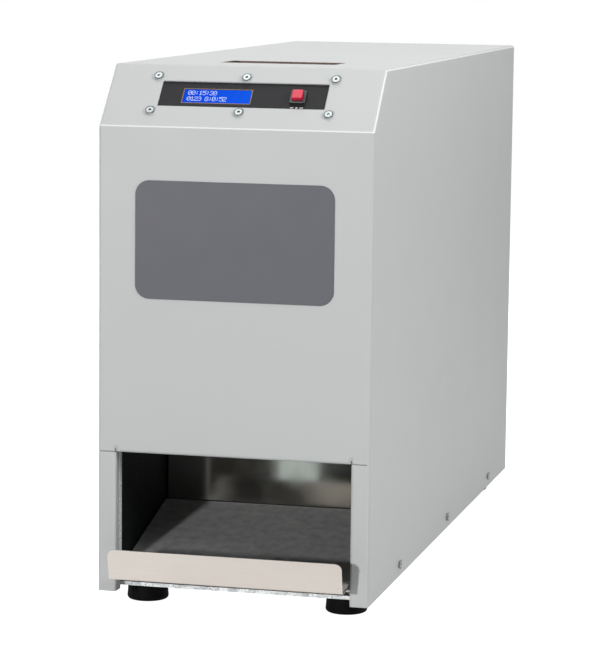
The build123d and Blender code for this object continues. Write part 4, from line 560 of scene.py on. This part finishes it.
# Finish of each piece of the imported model
NODE_FINISHES = {
    "powder_coat": ["cover", "rear_panel"],
    "galvanised": ["base_tray", "chute_side_right", "chute_side_left", "coil_shelf", "mid_bulkhead",
                   "gate_motor_bracket", "corner_bracket", "resistor_brackets", "transformer_feet",
                   "capacitor_clamps"],
    "stainless": ["catch_tray", "gate_flap"],
    "bright_plate": ["deflector"],
    "zinc_steel": ["foot_bolts", "cover_screws", "panel_screws", "panel_nuts", "coil_tie_bolts",
                   "coil_tie_nuts", "gate_shaft", "bus_bar_bolts", "board_standoffs", "gate_motor"],
    "black_steel": ["fan_screws"],
    "foot_rubber": ["feet"],
    "mat_rubber": ["tray_mat", "gate_pad"],
    "liner_black": ["chute_liners"],
    "label_grey": ["front_label"],
    "panel_black": ["control_panel"],
    "display_metal": ["display_bezel"],
    "display_blue": ["display_glass"],
    "circuit_board": ["display_board", "control_board", "charger_board"],
    "button_black": ["button_body", "button_nut", "thyristor_module", "switch_rocker"],
    "button_red": ["start_button"],
    "phenolic": ["media_sleeve", "coil_clamp_plates"],
    "bobbin_resin": ["coil_bobbin", "gate_bearings"],
    "copper": ["coil_winding", "bus_bars"],
    "can_sleeve": ["capacitors"],
    "core_steel": ["transformer_core"],
    "winding_tape": ["transformer_coil"],
    "aluminium": ["heatsink"],
    "resistor_enamel": ["bleed_resistor"],
    "fan_black": ["fan_housing", "fan_rotor", "power_inlet", "switch_body"],
    "guard_chrome": ["fan_guard"],
}


def dress_nodes():
    """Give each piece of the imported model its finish."""
    for finish, names in NODE_FINISHES.items():
        for name in names:
            for place in frame["nodes"][name].material_slots:
                place.material = FINISHES[finish]


# Modelling helpers


def choose_faces(piece, test):
    """Enter edit mode with only those faces chosen that pass the test."""
    bpy.ops.object.select_all(action="DESELECT")
    piece.select_set(True)
    bpy.context.view_layer.objects.active = piece
    mesh = piece.data
    for part in (mesh.vertices, mesh.edges, mesh.polygons):
        part.foreach_set("select", [False] * len(part))
    for face in mesh.polygons:
        face.select = test(face)
    bpy.context.tool_settings.mesh_select_mode = (False, False, True)
    bpy.ops.object.mode_set(mode="EDIT")


def leave_edit():
    """Back to object mode with nothing chosen."""
    bpy.ops.object.mode_set(mode="OBJECT")
    bpy.ops.object.select_all(action="DESELECT")


def set_place(piece):
    """Put the piece's place, turn and size into its mesh."""
    bpy.ops.object.select_all(action="DESELECT")
    piece.select_set(True)
    bpy.context.view_layer.objects.active = piece
    bpy.ops.object.transform_apply(location=True, rotation=True, scale=True)
    bpy.ops.object.select_all(action="DESELECT")
    return piece


def box_piece(low, high):
    """Box between two corners."""
    low, high = Vector(low), Vector(high)
    bpy.ops.mesh.primitive_cube_add(size=1, location=(low + high) / 2)
    piece = bpy.context.object
    piece.scale = high - low
    return set_place(piece)


def round_piece(start, end, radius, sides=24):
    """Round bar between two points."""
    start, end = Vector(start), Vector(end)
    bpy.ops.mesh.primitive_cylinder_add(vertices=sides, radius=radius, depth=(end - start).length)
    piece = bpy.context.object
    piece.rotation_mode = "QUATERNION"
    piece.rotation_quaternion = (end - start).to_track_quat("Z", "Y")
    piece.location = (start + end) / 2
    return set_place(piece)


def apply_modifier(piece, kind, **settings):
    """Add a modifier with its settings and apply it."""
    modifier = piece.modifiers.new(kind.title(), kind)
    for name, value in settings.items():
        setattr(modifier, name, value)
    bpy.context.view_layer.objects.active = piece
    bpy.ops.object.modifier_apply(modifier=modifier.name)
    return piece


def round_edges(piece, width, segments=3, angle=30):
    """Bevel the sharp edges."""
    return apply_modifier(piece, "BEVEL", width=width, segments=segments, limit_method="ANGLE",
                          angle_limit=math.radians(angle))


def smooth(piece, angle=35):
    """Smooth shading that keeps the sharp edges."""
    bpy.ops.object.select_all(action="DESELECT")
    piece.select_set(True)
    bpy.context.view_layer.objects.active = piece
    bpy.ops.object.shade_smooth_by_angle(angle=math.radians(angle))
    bpy.ops.object.select_all(action="DESELECT")


def cut_away(piece, tool):
    """Take the tool's shape out of the piece."""
    apply_modifier(piece, "BOOLEAN", operation="DIFFERENCE", object=tool, solver="EXACT")
    bpy.data.objects.remove(tool)
    return piece


def join_pieces(pieces):
    """One object from several, the first one kept."""
    bpy.ops.object.select_all(action="DESELECT")
    for piece in pieces:
        piece.select_set(True)
    bpy.context.view_layer.objects.active = pieces[0]
    if len(pieces) > 1:
        bpy.ops.object.join()
    bpy.ops.object.select_all(action="DESELECT")
    return pieces[0]


def copy_to(piece, matrix):
    """Copy with its own mesh, moved in its mesh by a matrix."""
    twin = bpy.data.objects.new(piece.name, piece.data.copy())
    bpy.context.scene.collection.objects.link(twin)
    twin.data.transform(matrix)
    return twin


def spread(piece, matrices):
    """One object from copies of a piece at several places; the pattern itself goes."""
    twins = [copy_to(piece, matrix) for matrix in matrices]
    bpy.data.objects.remove(piece)
    return join_pieces(twins)


def hand_over(piece, name, finish, body, replaces=()):
    """Name a finished piece, give it its finish and let it ride on its body."""
    piece.name = name
    piece.data.name = name
    piece.data.materials.clear()
    piece.data.materials.append(FINISHES[finish])
    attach(piece, body)
    if replaces:
        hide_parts(*replaces)
    return piece


def facing(place, outward):
    """Matrix that puts a piece drawn upright at the origin onto a surface there."""
    return Matrix.Translation(Vector(place)) @ Vector(outward).to_track_quat("Z", "Y").to_matrix().to_4x4()


# Screws


def button_screw(length):
    """Button head screw with a hexagon socket. Its seat is at the origin and its head points up."""
    bolt = round_piece((0, 0, 0), (0, 0, M4_RISE), M4_HEAD, 40)
    choose_faces(bolt, lambda face: face.normal.z > 0.9)
    bpy.ops.mesh.inset(thickness=M4_HEAD * 0.04)
    bpy.ops.mesh.select_more()
    leave_edit()
    choose_faces(bolt, lambda face: face.normal.z > 0.9 and face.area > M4_HEAD * M4_HEAD)
    bpy.ops.mesh.bevel(offset=M4_RISE * 0.62, segments=5, affect="EDGES")
    leave_edit()
    socket_radius = SOCKET_ACROSS / math.sqrt(3)
    socket = round_piece((0, 0, M4_RISE - SOCKET_DEPTH), (0, 0, M4_RISE + 0.001), socket_radius, 6)
    cut_away(bolt, socket)
    stem = round_piece((0, 0, -length), (0, 0, 0.0001), M4_SHANK, 20)
    choose_faces(stem, lambda face: face.normal.z < -0.9)
    bpy.ops.mesh.bevel(offset=M4_SHANK * 0.25, segments=2, affect="EDGES")
    leave_edit()
    return join_pieces([bolt, stem])


def make_panel_screws():
    """Six screws round the window."""
    outward = SLOPE.to_3x3() @ Vector((0, 0, 1))
    seats = [SLOPE @ Vector((column * PANEL_SCREW_U, WINDOW_V + row * PANEL_SCREW_V, 0))
             for column in (-1, 0, 1) for row in (-1, 1)]
    turns = [Matrix.Rotation(math.radians(PANEL_SCREW_TURN * index), 4, "Z") for index in range(len(seats))]
    places = [facing(seat, outward) @ turn for seat, turn in zip(seats, turns)]
    screws = spread(button_screw(PANEL_SCREW_LENGTH), places)
    smooth(screws)
    hand_over(screws, "panel_button_screws", "screw_zinc", "casing",
              replaces=["panel_screws"])


def make_cover_screws():
    """Screws low on both sides, one high on the left, and those in the rear rim."""
    half = COVER_HIGH.x
    places = []
    for index in range(SIDE_SCREW_COUNT):
        y = FRONT_Y + SIDE_SCREW_FIRST + index * SIDE_SCREW_PITCH
        for side in (-1, 1):
            places.append(facing((side * half, y, COVER_FOOT + SIDE_SCREW_HEIGHT), (side, 0, 0)))
    upper = (-half, FRONT_Y + UPPER_SCREW_SETBACK, COVER_HIGH.z - UPPER_SCREW_DROP)
    places.append(facing(upper, (-1, 0, 0)))
    rim = REAR_RIM / 2 + SHEET / 2
    column = half - rim
    for index in range(3):
        for side in (-1, 1):
            seat = (side * column, COVER_HIGH.y, COVER_FOOT + REAR_SCREW_LOW + index * REAR_SCREW_PITCH)
            places.append(facing(seat, (0, 1, 0)))
    for side in (-REAR_TOP_SCREWS, REAR_TOP_SCREWS):
        places.append(facing((side * column, COVER_HIGH.y, COVER_HIGH.z - rim), (0, 1, 0)))
    screws = spread(button_screw(COVER_SCREW_LENGTH), places)
    smooth(screws)
    hand_over(screws, "cover_button_screws", "screw_zinc", "casing",
              replaces=["cover_screws"])


# Soft pieces


def make_mat():
    """Soft mat on the tray: a level strip behind the lip, then up the slope, with rounded edges."""
    low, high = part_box("tray_mat")
    bend = FRONT_Y + TRAY_BEND
    rise = (high.y - bend) * math.tan(math.radians(TRAY_SLOPE))
    mat = box_piece(low, (high.x, bend, low.z + MAT_THICKNESS))
    choose_faces(mat, lambda face: face.normal.y > 0.9)
    step = (0, high.y - bend - MAT_REAR_GAP, rise - 0.0001)
    bpy.ops.mesh.extrude_region_move(TRANSFORM_OT_translate={"value": step})
    leave_edit()
    round_edges(mat, MAT_RIM, 3, 40)
    choose_faces(mat, lambda face: face.area > 0.0005)
    bpy.ops.mesh.subdivide(number_cuts=MAT_CUTS)
    leave_edit()
    top = mat.vertex_groups.new(name="top")
    upper = [vertex.index for vertex in mat.data.vertices if vertex.normal.z > 0.9]
    top.add(upper, 1.0, "REPLACE")
    unevenness = bpy.data.textures.new("mat_unevenness", "CLOUDS")
    unevenness.noise_scale = MAT_LUMPS
    apply_modifier(mat, "DISPLACE", texture=unevenness, strength=MAT_DIP, mid_level=1.0, vertex_group="top",
                   texture_coords="LOCAL")
    smooth(mat, 50)
    hand_over(mat, "bay_mat", "mat_rubber", "tray", replaces=["tray_mat"])


def make_gate_cushion():
    """Soft pad on the gate, rounded at its rim and a little lower in the middle."""
    low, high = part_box("gate_pad")
    pad = box_piece(low, high)
    round_edges(pad, PAD_RIM, 3)
    choose_faces(pad, lambda face: face.normal.z > 0.9 and face.area > 0.001)
    bpy.ops.mesh.inset(thickness=PAD_MARGIN)
    bpy.ops.transform.translate(value=(0, 0, -PAD_DIP))
    leave_edit()
    smooth(pad, 50)
    hand_over(pad, "gate_cushion", "mat_rubber", "gate", replaces=["gate_pad"])


# Edges of the bay


def make_wall_hems():
    """Bare cut edges of the two chute walls, in the step before the liners, coloured near-white as a painted
    highlight for the glint of bare metal.
    """
    liner_low, liner_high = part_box("chute_liners")
    hems = []
    for side in (-1, 1):
        near = side * (liner_high.x - HEM_WIDTH)
        far = side * liner_high.x
        hem = box_piece((min(near, far), liner_low.y - HEM_DEPTH, liner_low.z),
                        (max(near, far), liner_low.y, liner_high.z))
        hems.append(round_edges(hem, 0.0002, 2))
    pair = join_pieces(hems)
    hand_over(pair, "chute_wall_hems", "cut_edge_glint", "casing")


def make_notch_tabs():
    """Folded tabs that close the two corner notches but for a thin slit."""
    slit_low, slit_high = OPENING_HALF - SLIT_IN, OPENING_HALF + SLIT_OUT
    foot = COVER_FOOT + OPENING_HEIGHT + SEAM
    head = COVER_FOOT + OPENING_HEIGHT + NOTCH_HEIGHT
    spans = ((OPENING_HALF - NOTCH_WIDTH, slit_low, foot), (slit_high, OPENING_HALF + NOTCH_WIDTH, foot),
             (slit_low, slit_high, foot + SLIT_HEIGHT))
    tabs = []
    for side in (-1, 1):
        for near, far, low in spans:
            ends = sorted((side * near, side * far))
            tabs.append(box_piece((ends[0], FRONT_Y, low), (ends[1], FRONT_Y + SHEET, head)))
    tabs = join_pieces(tabs)
    hand_over(tabs, "notch_tabs", "powder_coat", "casing")


# Display and button


def make_display_frame():
    """Thin pressed frame that lines the display's cut-out, from the bezel up to the panel's face."""
    outer = Vector((DISPLAY_WIDTH / 2 + FRAME_OUT, DISPLAY_HEIGHT / 2 + FRAME_OUT, 0))
    inner = Vector((DISPLAY_WIDTH / 2 + FRAME_IN, DISPLAY_HEIGHT / 2 + FRAME_IN, 0))
    low, high = -SHEET - PANEL_SHEET, -SHEET - 0.0001
    ring = box_piece((-outer.x, -outer.y, low), (outer.x, outer.y, high))
    well = box_piece((-inner.x, -inner.y, low - 0.001), (inner.x, inner.y, high + 0.001))
    cut_away(ring, well)
    round_edges(ring, 0.0001, 2)
    ring.data.transform(SLOPE @ Matrix.Translation((DISPLAY_U, DISPLAY_V, 0)))
    hand_over(ring, "display_trim", "display_metal", "casing")


def make_display_window():
    """Blue window that fills the frame, with a softened rim."""
    low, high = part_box("display_glass")
    half = Vector(((high.x - low.x) / 2, DISPLAY_HEIGHT / 2 - 0.0001, 0))
    bottom = -SHEET - PANEL_SHEET - 0.0014
    window = box_piece((-half.x, -half.y, bottom), (half.x, half.y, -GLASS_DEPTH))
    round_edges(window, 0.0002, 2)
    window.data.transform(SLOPE @ Matrix.Translation((DISPLAY_U, DISPLAY_V, 0)))
    hand_over(window, "display_window", "display_blue", "casing", replaces=["display_glass"])


def make_display_dots():
    """Two lines of dot digits on the glass."""
    glass = -GLASS_DEPTH
    dot = box_piece((-DOT / 2, -DOT / 2, -0.00002), (DOT / 2, DOT / 2, 0.00008))
    left = DISPLAY_U - DISPLAY_WIDTH / 2 + TEXT_MARGIN
    top = DISPLAY_V + TEXT_RISE
    places = []
    for line, text in enumerate(TEXT):
        for column, character in enumerate(text):
            rows = DIGITS.get(character, "").split()
            for row, dots in enumerate(rows):
                for step, mark in enumerate(dots):
                    if mark == "1":
                        u = left + column * CHARACTER_PITCH + step * DOT_PITCH
                        v = top - line * LINE_PITCH - row * DOT_PITCH
                        places.append(SLOPE @ Matrix.Translation((u, v, glass)))
    dots = spread(dot, places)
    hand_over(dots, "display_digits", "display_dots", "casing")


def make_legend():
    """Generic mark under the button: a triangle between two short bars."""
    lift = -SHEET + 0.00002
    thick = 0.00008
    half = LEGEND_HEIGHT / 2
    bpy.ops.mesh.primitive_cylinder_add(vertices=3, radius=half * 1.15, depth=thick,
                                        location=(0, 0, thick / 2))
    triangle = bpy.context.object
    triangle.rotation_euler.z = math.radians(-90)
    set_place(triangle)
    marks = [triangle]
    for side in (-1, 1):
        near = side * LEGEND_WIDTH * 0.24
        far = side * LEGEND_WIDTH / 2
        bar = box_piece((min(near, far), -0.0005, 0), (max(near, far), 0.0005, thick))
        marks.append(round_edges(bar, 0.00003, 2))
    legend = join_pieces(marks)
    legend.data.transform(SLOPE @ Matrix.Translation((BUTTON_U, LEGEND_V, lift)))
    hand_over(legend, "button_mark", "legend_white", "casing")


# Rear pieces


def make_fan_guard():
    """Wire guard: four hoops welded to four bent spokes with flattened feet."""
    low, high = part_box("fan_guard")
    centre = (low + high) / 2
    wall = COVER_HIGH.y - SHEET
    wire = GUARD_WIRE / 2
    front = GUARD_PROUD - wire
    parts = []
    for radius in GUARD_HOOPS:
        bpy.ops.mesh.primitive_torus_add(major_radius=radius, minor_radius=wire, major_segments=72,
                                         minor_segments=12, location=(0, 0, front))
        parts.append(set_place(bpy.context.object))
    leg = FAN_HOLE_REACH - GUARD_LEG_INSET
    spoke_height = front - GUARD_WIRE * 0.75
    for index in range(4):
        turn = Matrix.Rotation(math.radians(45 + 90 * index), 4, "Z")
        spoke = round_piece((GUARD_SPOKE_START, 0, spoke_height), (leg, 0, spoke_height), wire, 12)
        knee = round_piece((leg, 0, front - GUARD_WIRE * 0.4), (leg, 0, 0.0004), wire, 12)
        bpy.ops.mesh.primitive_torus_add(major_radius=M4_HEAD * 0.78, minor_radius=0.0005,
                                         major_segments=32, minor_segments=8,
                                         location=(FAN_HOLE_REACH, 0, 0.0005))
        eye = set_place(bpy.context.object)
        for part in (spoke, knee, eye):
            part.data.transform(turn)
            parts.append(part)
    guard = join_pieces(parts)
    turned = Matrix.Rotation(math.radians(-90), 4, "X")
    guard.data.transform(Matrix.Translation((centre.x, wall, centre.z)) @ turned)
    smooth(guard, 50)
    hand_over(guard, "guard_wires", "guard_chrome", "casing", replaces=["fan_guard"])


def make_rocker_marks():
    """Bar on the rocker's upper half and ring on its lower half."""
    bar = box_piece((-0.0004, -0.0017, 0), (0.0004, 0.0017, MARK_THICKNESS))
    round_edges(bar, 0.00003, 2)
    bar.data.transform(facing(ROCKER_UPPER, ROCKER_UPPER_NORMAL))
    bpy.ops.mesh.primitive_torus_add(major_radius=0.0016, minor_radius=0.0003, major_segments=40,
                                     minor_segments=8)
    ring = bpy.context.object
    ring.scale.z = 2 * MARK_THICKNESS / 0.0006
    set_place(ring)
    ring.data.transform(facing(ROCKER_LOWER, ROCKER_LOWER_NORMAL))
    marks = join_pieces([bar, ring])
    hand_over(marks, "rocker_marks", "mark_white", "rocker")


# Camera, floor and light


def add_camera():
    """Camera at the photograph's place and angle."""
    turn = (Matrix.Rotation(math.radians(CAMERA_YAW), 4, "Z")
            @ Matrix.Rotation(math.radians(CAMERA_PITCH), 4, "X")
            @ Matrix.Rotation(math.radians(CAMERA_ROLL), 4, "Y")
            @ Matrix.Rotation(math.radians(90), 4, "X"))
    data = bpy.data.cameras.new("camera")
    data.sensor_width = SENSOR
    data.lens = FOCAL_PIXELS / max(IMAGE_WIDTH, IMAGE_HEIGHT) * SENSOR
    data.clip_end = 50
    camera = bpy.data.objects.new("camera", data)
    camera.matrix_world = Matrix.Translation(CAMERA_PLACE) @ turn
    bpy.context.scene.collection.objects.link(camera)
    bpy.context.scene.camera = camera


def seen_as(tree, direct, mirrored):
    """One strength for rays from the camera, and one for reflections and what shows through glass."""
    rays = tree.nodes.new("ShaderNodeLightPath").outputs
    camera = add_node(tree, "ShaderNodeMath", {0: rays["Is Camera Ray"], 1: direct}, operation="MULTIPLY")
    either = add_node(tree, "ShaderNodeMath", {0: rays["Is Glossy Ray"], 1: rays["Is Transmission Ray"]},
                      operation="MAXIMUM")
    mirror = add_node(tree, "ShaderNodeMath", {0: either.outputs[0], 1: mirrored}, operation="MULTIPLY")
    return add_node(tree, "ShaderNodeMath", {0: camera.outputs[0], 1: mirror.outputs[0]},
                    operation="MAXIMUM").outputs[0]


def add_floor():
    """White floor that keeps a soft shadow."""
    bpy.ops.mesh.primitive_plane_add(size=16)
    floor = bpy.context.object
    floor.name = "floor"
    material = bpy.data.materials.new("studio_floor")
    material.use_nodes = True
    tree = material.node_tree
    tree.nodes.remove(tree.nodes["Principled BSDF"])
    paper = add_node(tree, "ShaderNodeBsdfDiffuse", {"Color": (0.55, 0.55, 0.55, 1)})
    glow = add_node(tree, "ShaderNodeEmission", {"Color": (1, 1, 1, 1)})
    tree.links.new(seen_as(tree, 0.93, 0.50), glow.inputs["Strength"])
    both = add_node(tree, "ShaderNodeAddShader", {0: paper.outputs[0], 1: glow.outputs[0]})
    tree.links.new(both.outputs[0], tree.nodes["Material Output"].inputs["Surface"])
    floor.data.materials.append(material)


def add_world():
    """White background with a softer fill light."""
    world = bpy.data.worlds.new("studio")
    bpy.context.scene.world = world
    world.use_nodes = True
    tree = world.node_tree
    ground = tree.nodes["Background"]
    ground.inputs["Color"].default_value = (1, 1, 1, 1)
    fill = add_node(tree, "ShaderNodeMapRange",
                    {"Value": seen_as(tree, 1.0, 1.0), "To Min": 0.12, "To Max": 1.0})
    tree.links.new(fill.outputs["Result"], ground.inputs["Strength"])


def add_lamp(name, place, target, width, height, power, colour=(1, 1, 1)):
    """Soft rectangular lamp that looks at a target."""
    data = bpy.data.lights.new(name, "AREA")
    data.shape = "RECTANGLE"
    data.size = width
    data.size_y = height
    data.energy = power
    data.color = colour
    lamp = bpy.data.objects.new(name, data)
    lamp.rotation_mode = "QUATERNION"
    lamp.rotation_quaternion = (Vector(target) - Vector(place)).to_track_quat("-Z", "Y")
    lamp.location = place
    bpy.context.scene.collection.objects.link(lamp)
    return lamp


def add_lamps():
    """Low hard key from the front left, fill from the right and from behind, and a soft lamp above."""
    add_lamp("key_lamp", (-1.24, -4.15, 0.75), (0, -0.35, 0.12), 0.22, 0.22, 80)
    add_lamp("right_lamp", (1.5, -0.75, 1.2), (0.12, -0.1, 0.3), 0.8, 0.8, 17)
    add_lamp("top_lamp", (0, 0.15, 2.4), (0, 0, 0.3), 1.6, 1.6, 25)
    add_lamp("rear_lamp", (-1.7, 2.2, 1.3), (0, 0.2, 0.25), 1.0, 1.0, 32).visible_glossy = False


def add_card(name, low, high, tone):
    """Upright card outside the view that shows in bare metal alone."""
    bpy.ops.mesh.primitive_plane_add(size=1, rotation=(math.radians(90), 0, 0))
    card = bpy.context.object
    card.name = name
    card.scale = (high[0] - low[0], high[1] - low[1], 1)
    card.location = ((high[0] + low[0]) / 2, CARD_Y, (high[1] + low[1]) / 2)
    for kind in ("camera", "diffuse", "shadow", "transmission", "volume_scatter"):
        setattr(card, "visible_" + kind, False)
    material = bpy.data.materials.new(name)
    material.use_nodes = True
    tree = material.node_tree
    tree.nodes.remove(tree.nodes["Principled BSDF"])
    paper = add_node(tree, "ShaderNodeEmission", {"Color": (*tone, 1), "Strength": 1.0})
    tree.links.new(paper.outputs[0], tree.nodes["Material Output"].inputs["Surface"])
    card.data.materials.append(material)


def add_cards():
    """Dark cards with a bright gap low before the bay, for its rear plate to reflect."""
    left, gap_left, gap_right, right = CARD_EDGES
    add_card("dark_card_left", (left, 0), (gap_left, CARD_TOP), (0.04, 0.036, 0.03))
    add_card("bright_card", (gap_left, 0), (gap_right, CARD_TOP), (1.25, 1.36, 1.32))
    add_card("dark_card_right", (gap_right, 0), (right, CARD_TOP), (0.025, 0.03, 0.028))


add_camera()
dress_nodes()
make_panel_screws()
make_cover_screws()
make_mat()
make_gate_cushion()
make_wall_hems()
make_notch_tabs()
make_display_frame()
make_display_window()
make_display_dots()
make_legend()
make_fan_guard()
make_rocker_marks()
add_floor()
add_world()
add_lamps()
add_cards()
bpy.context.scene.view_settings.view_transform = "Standard"
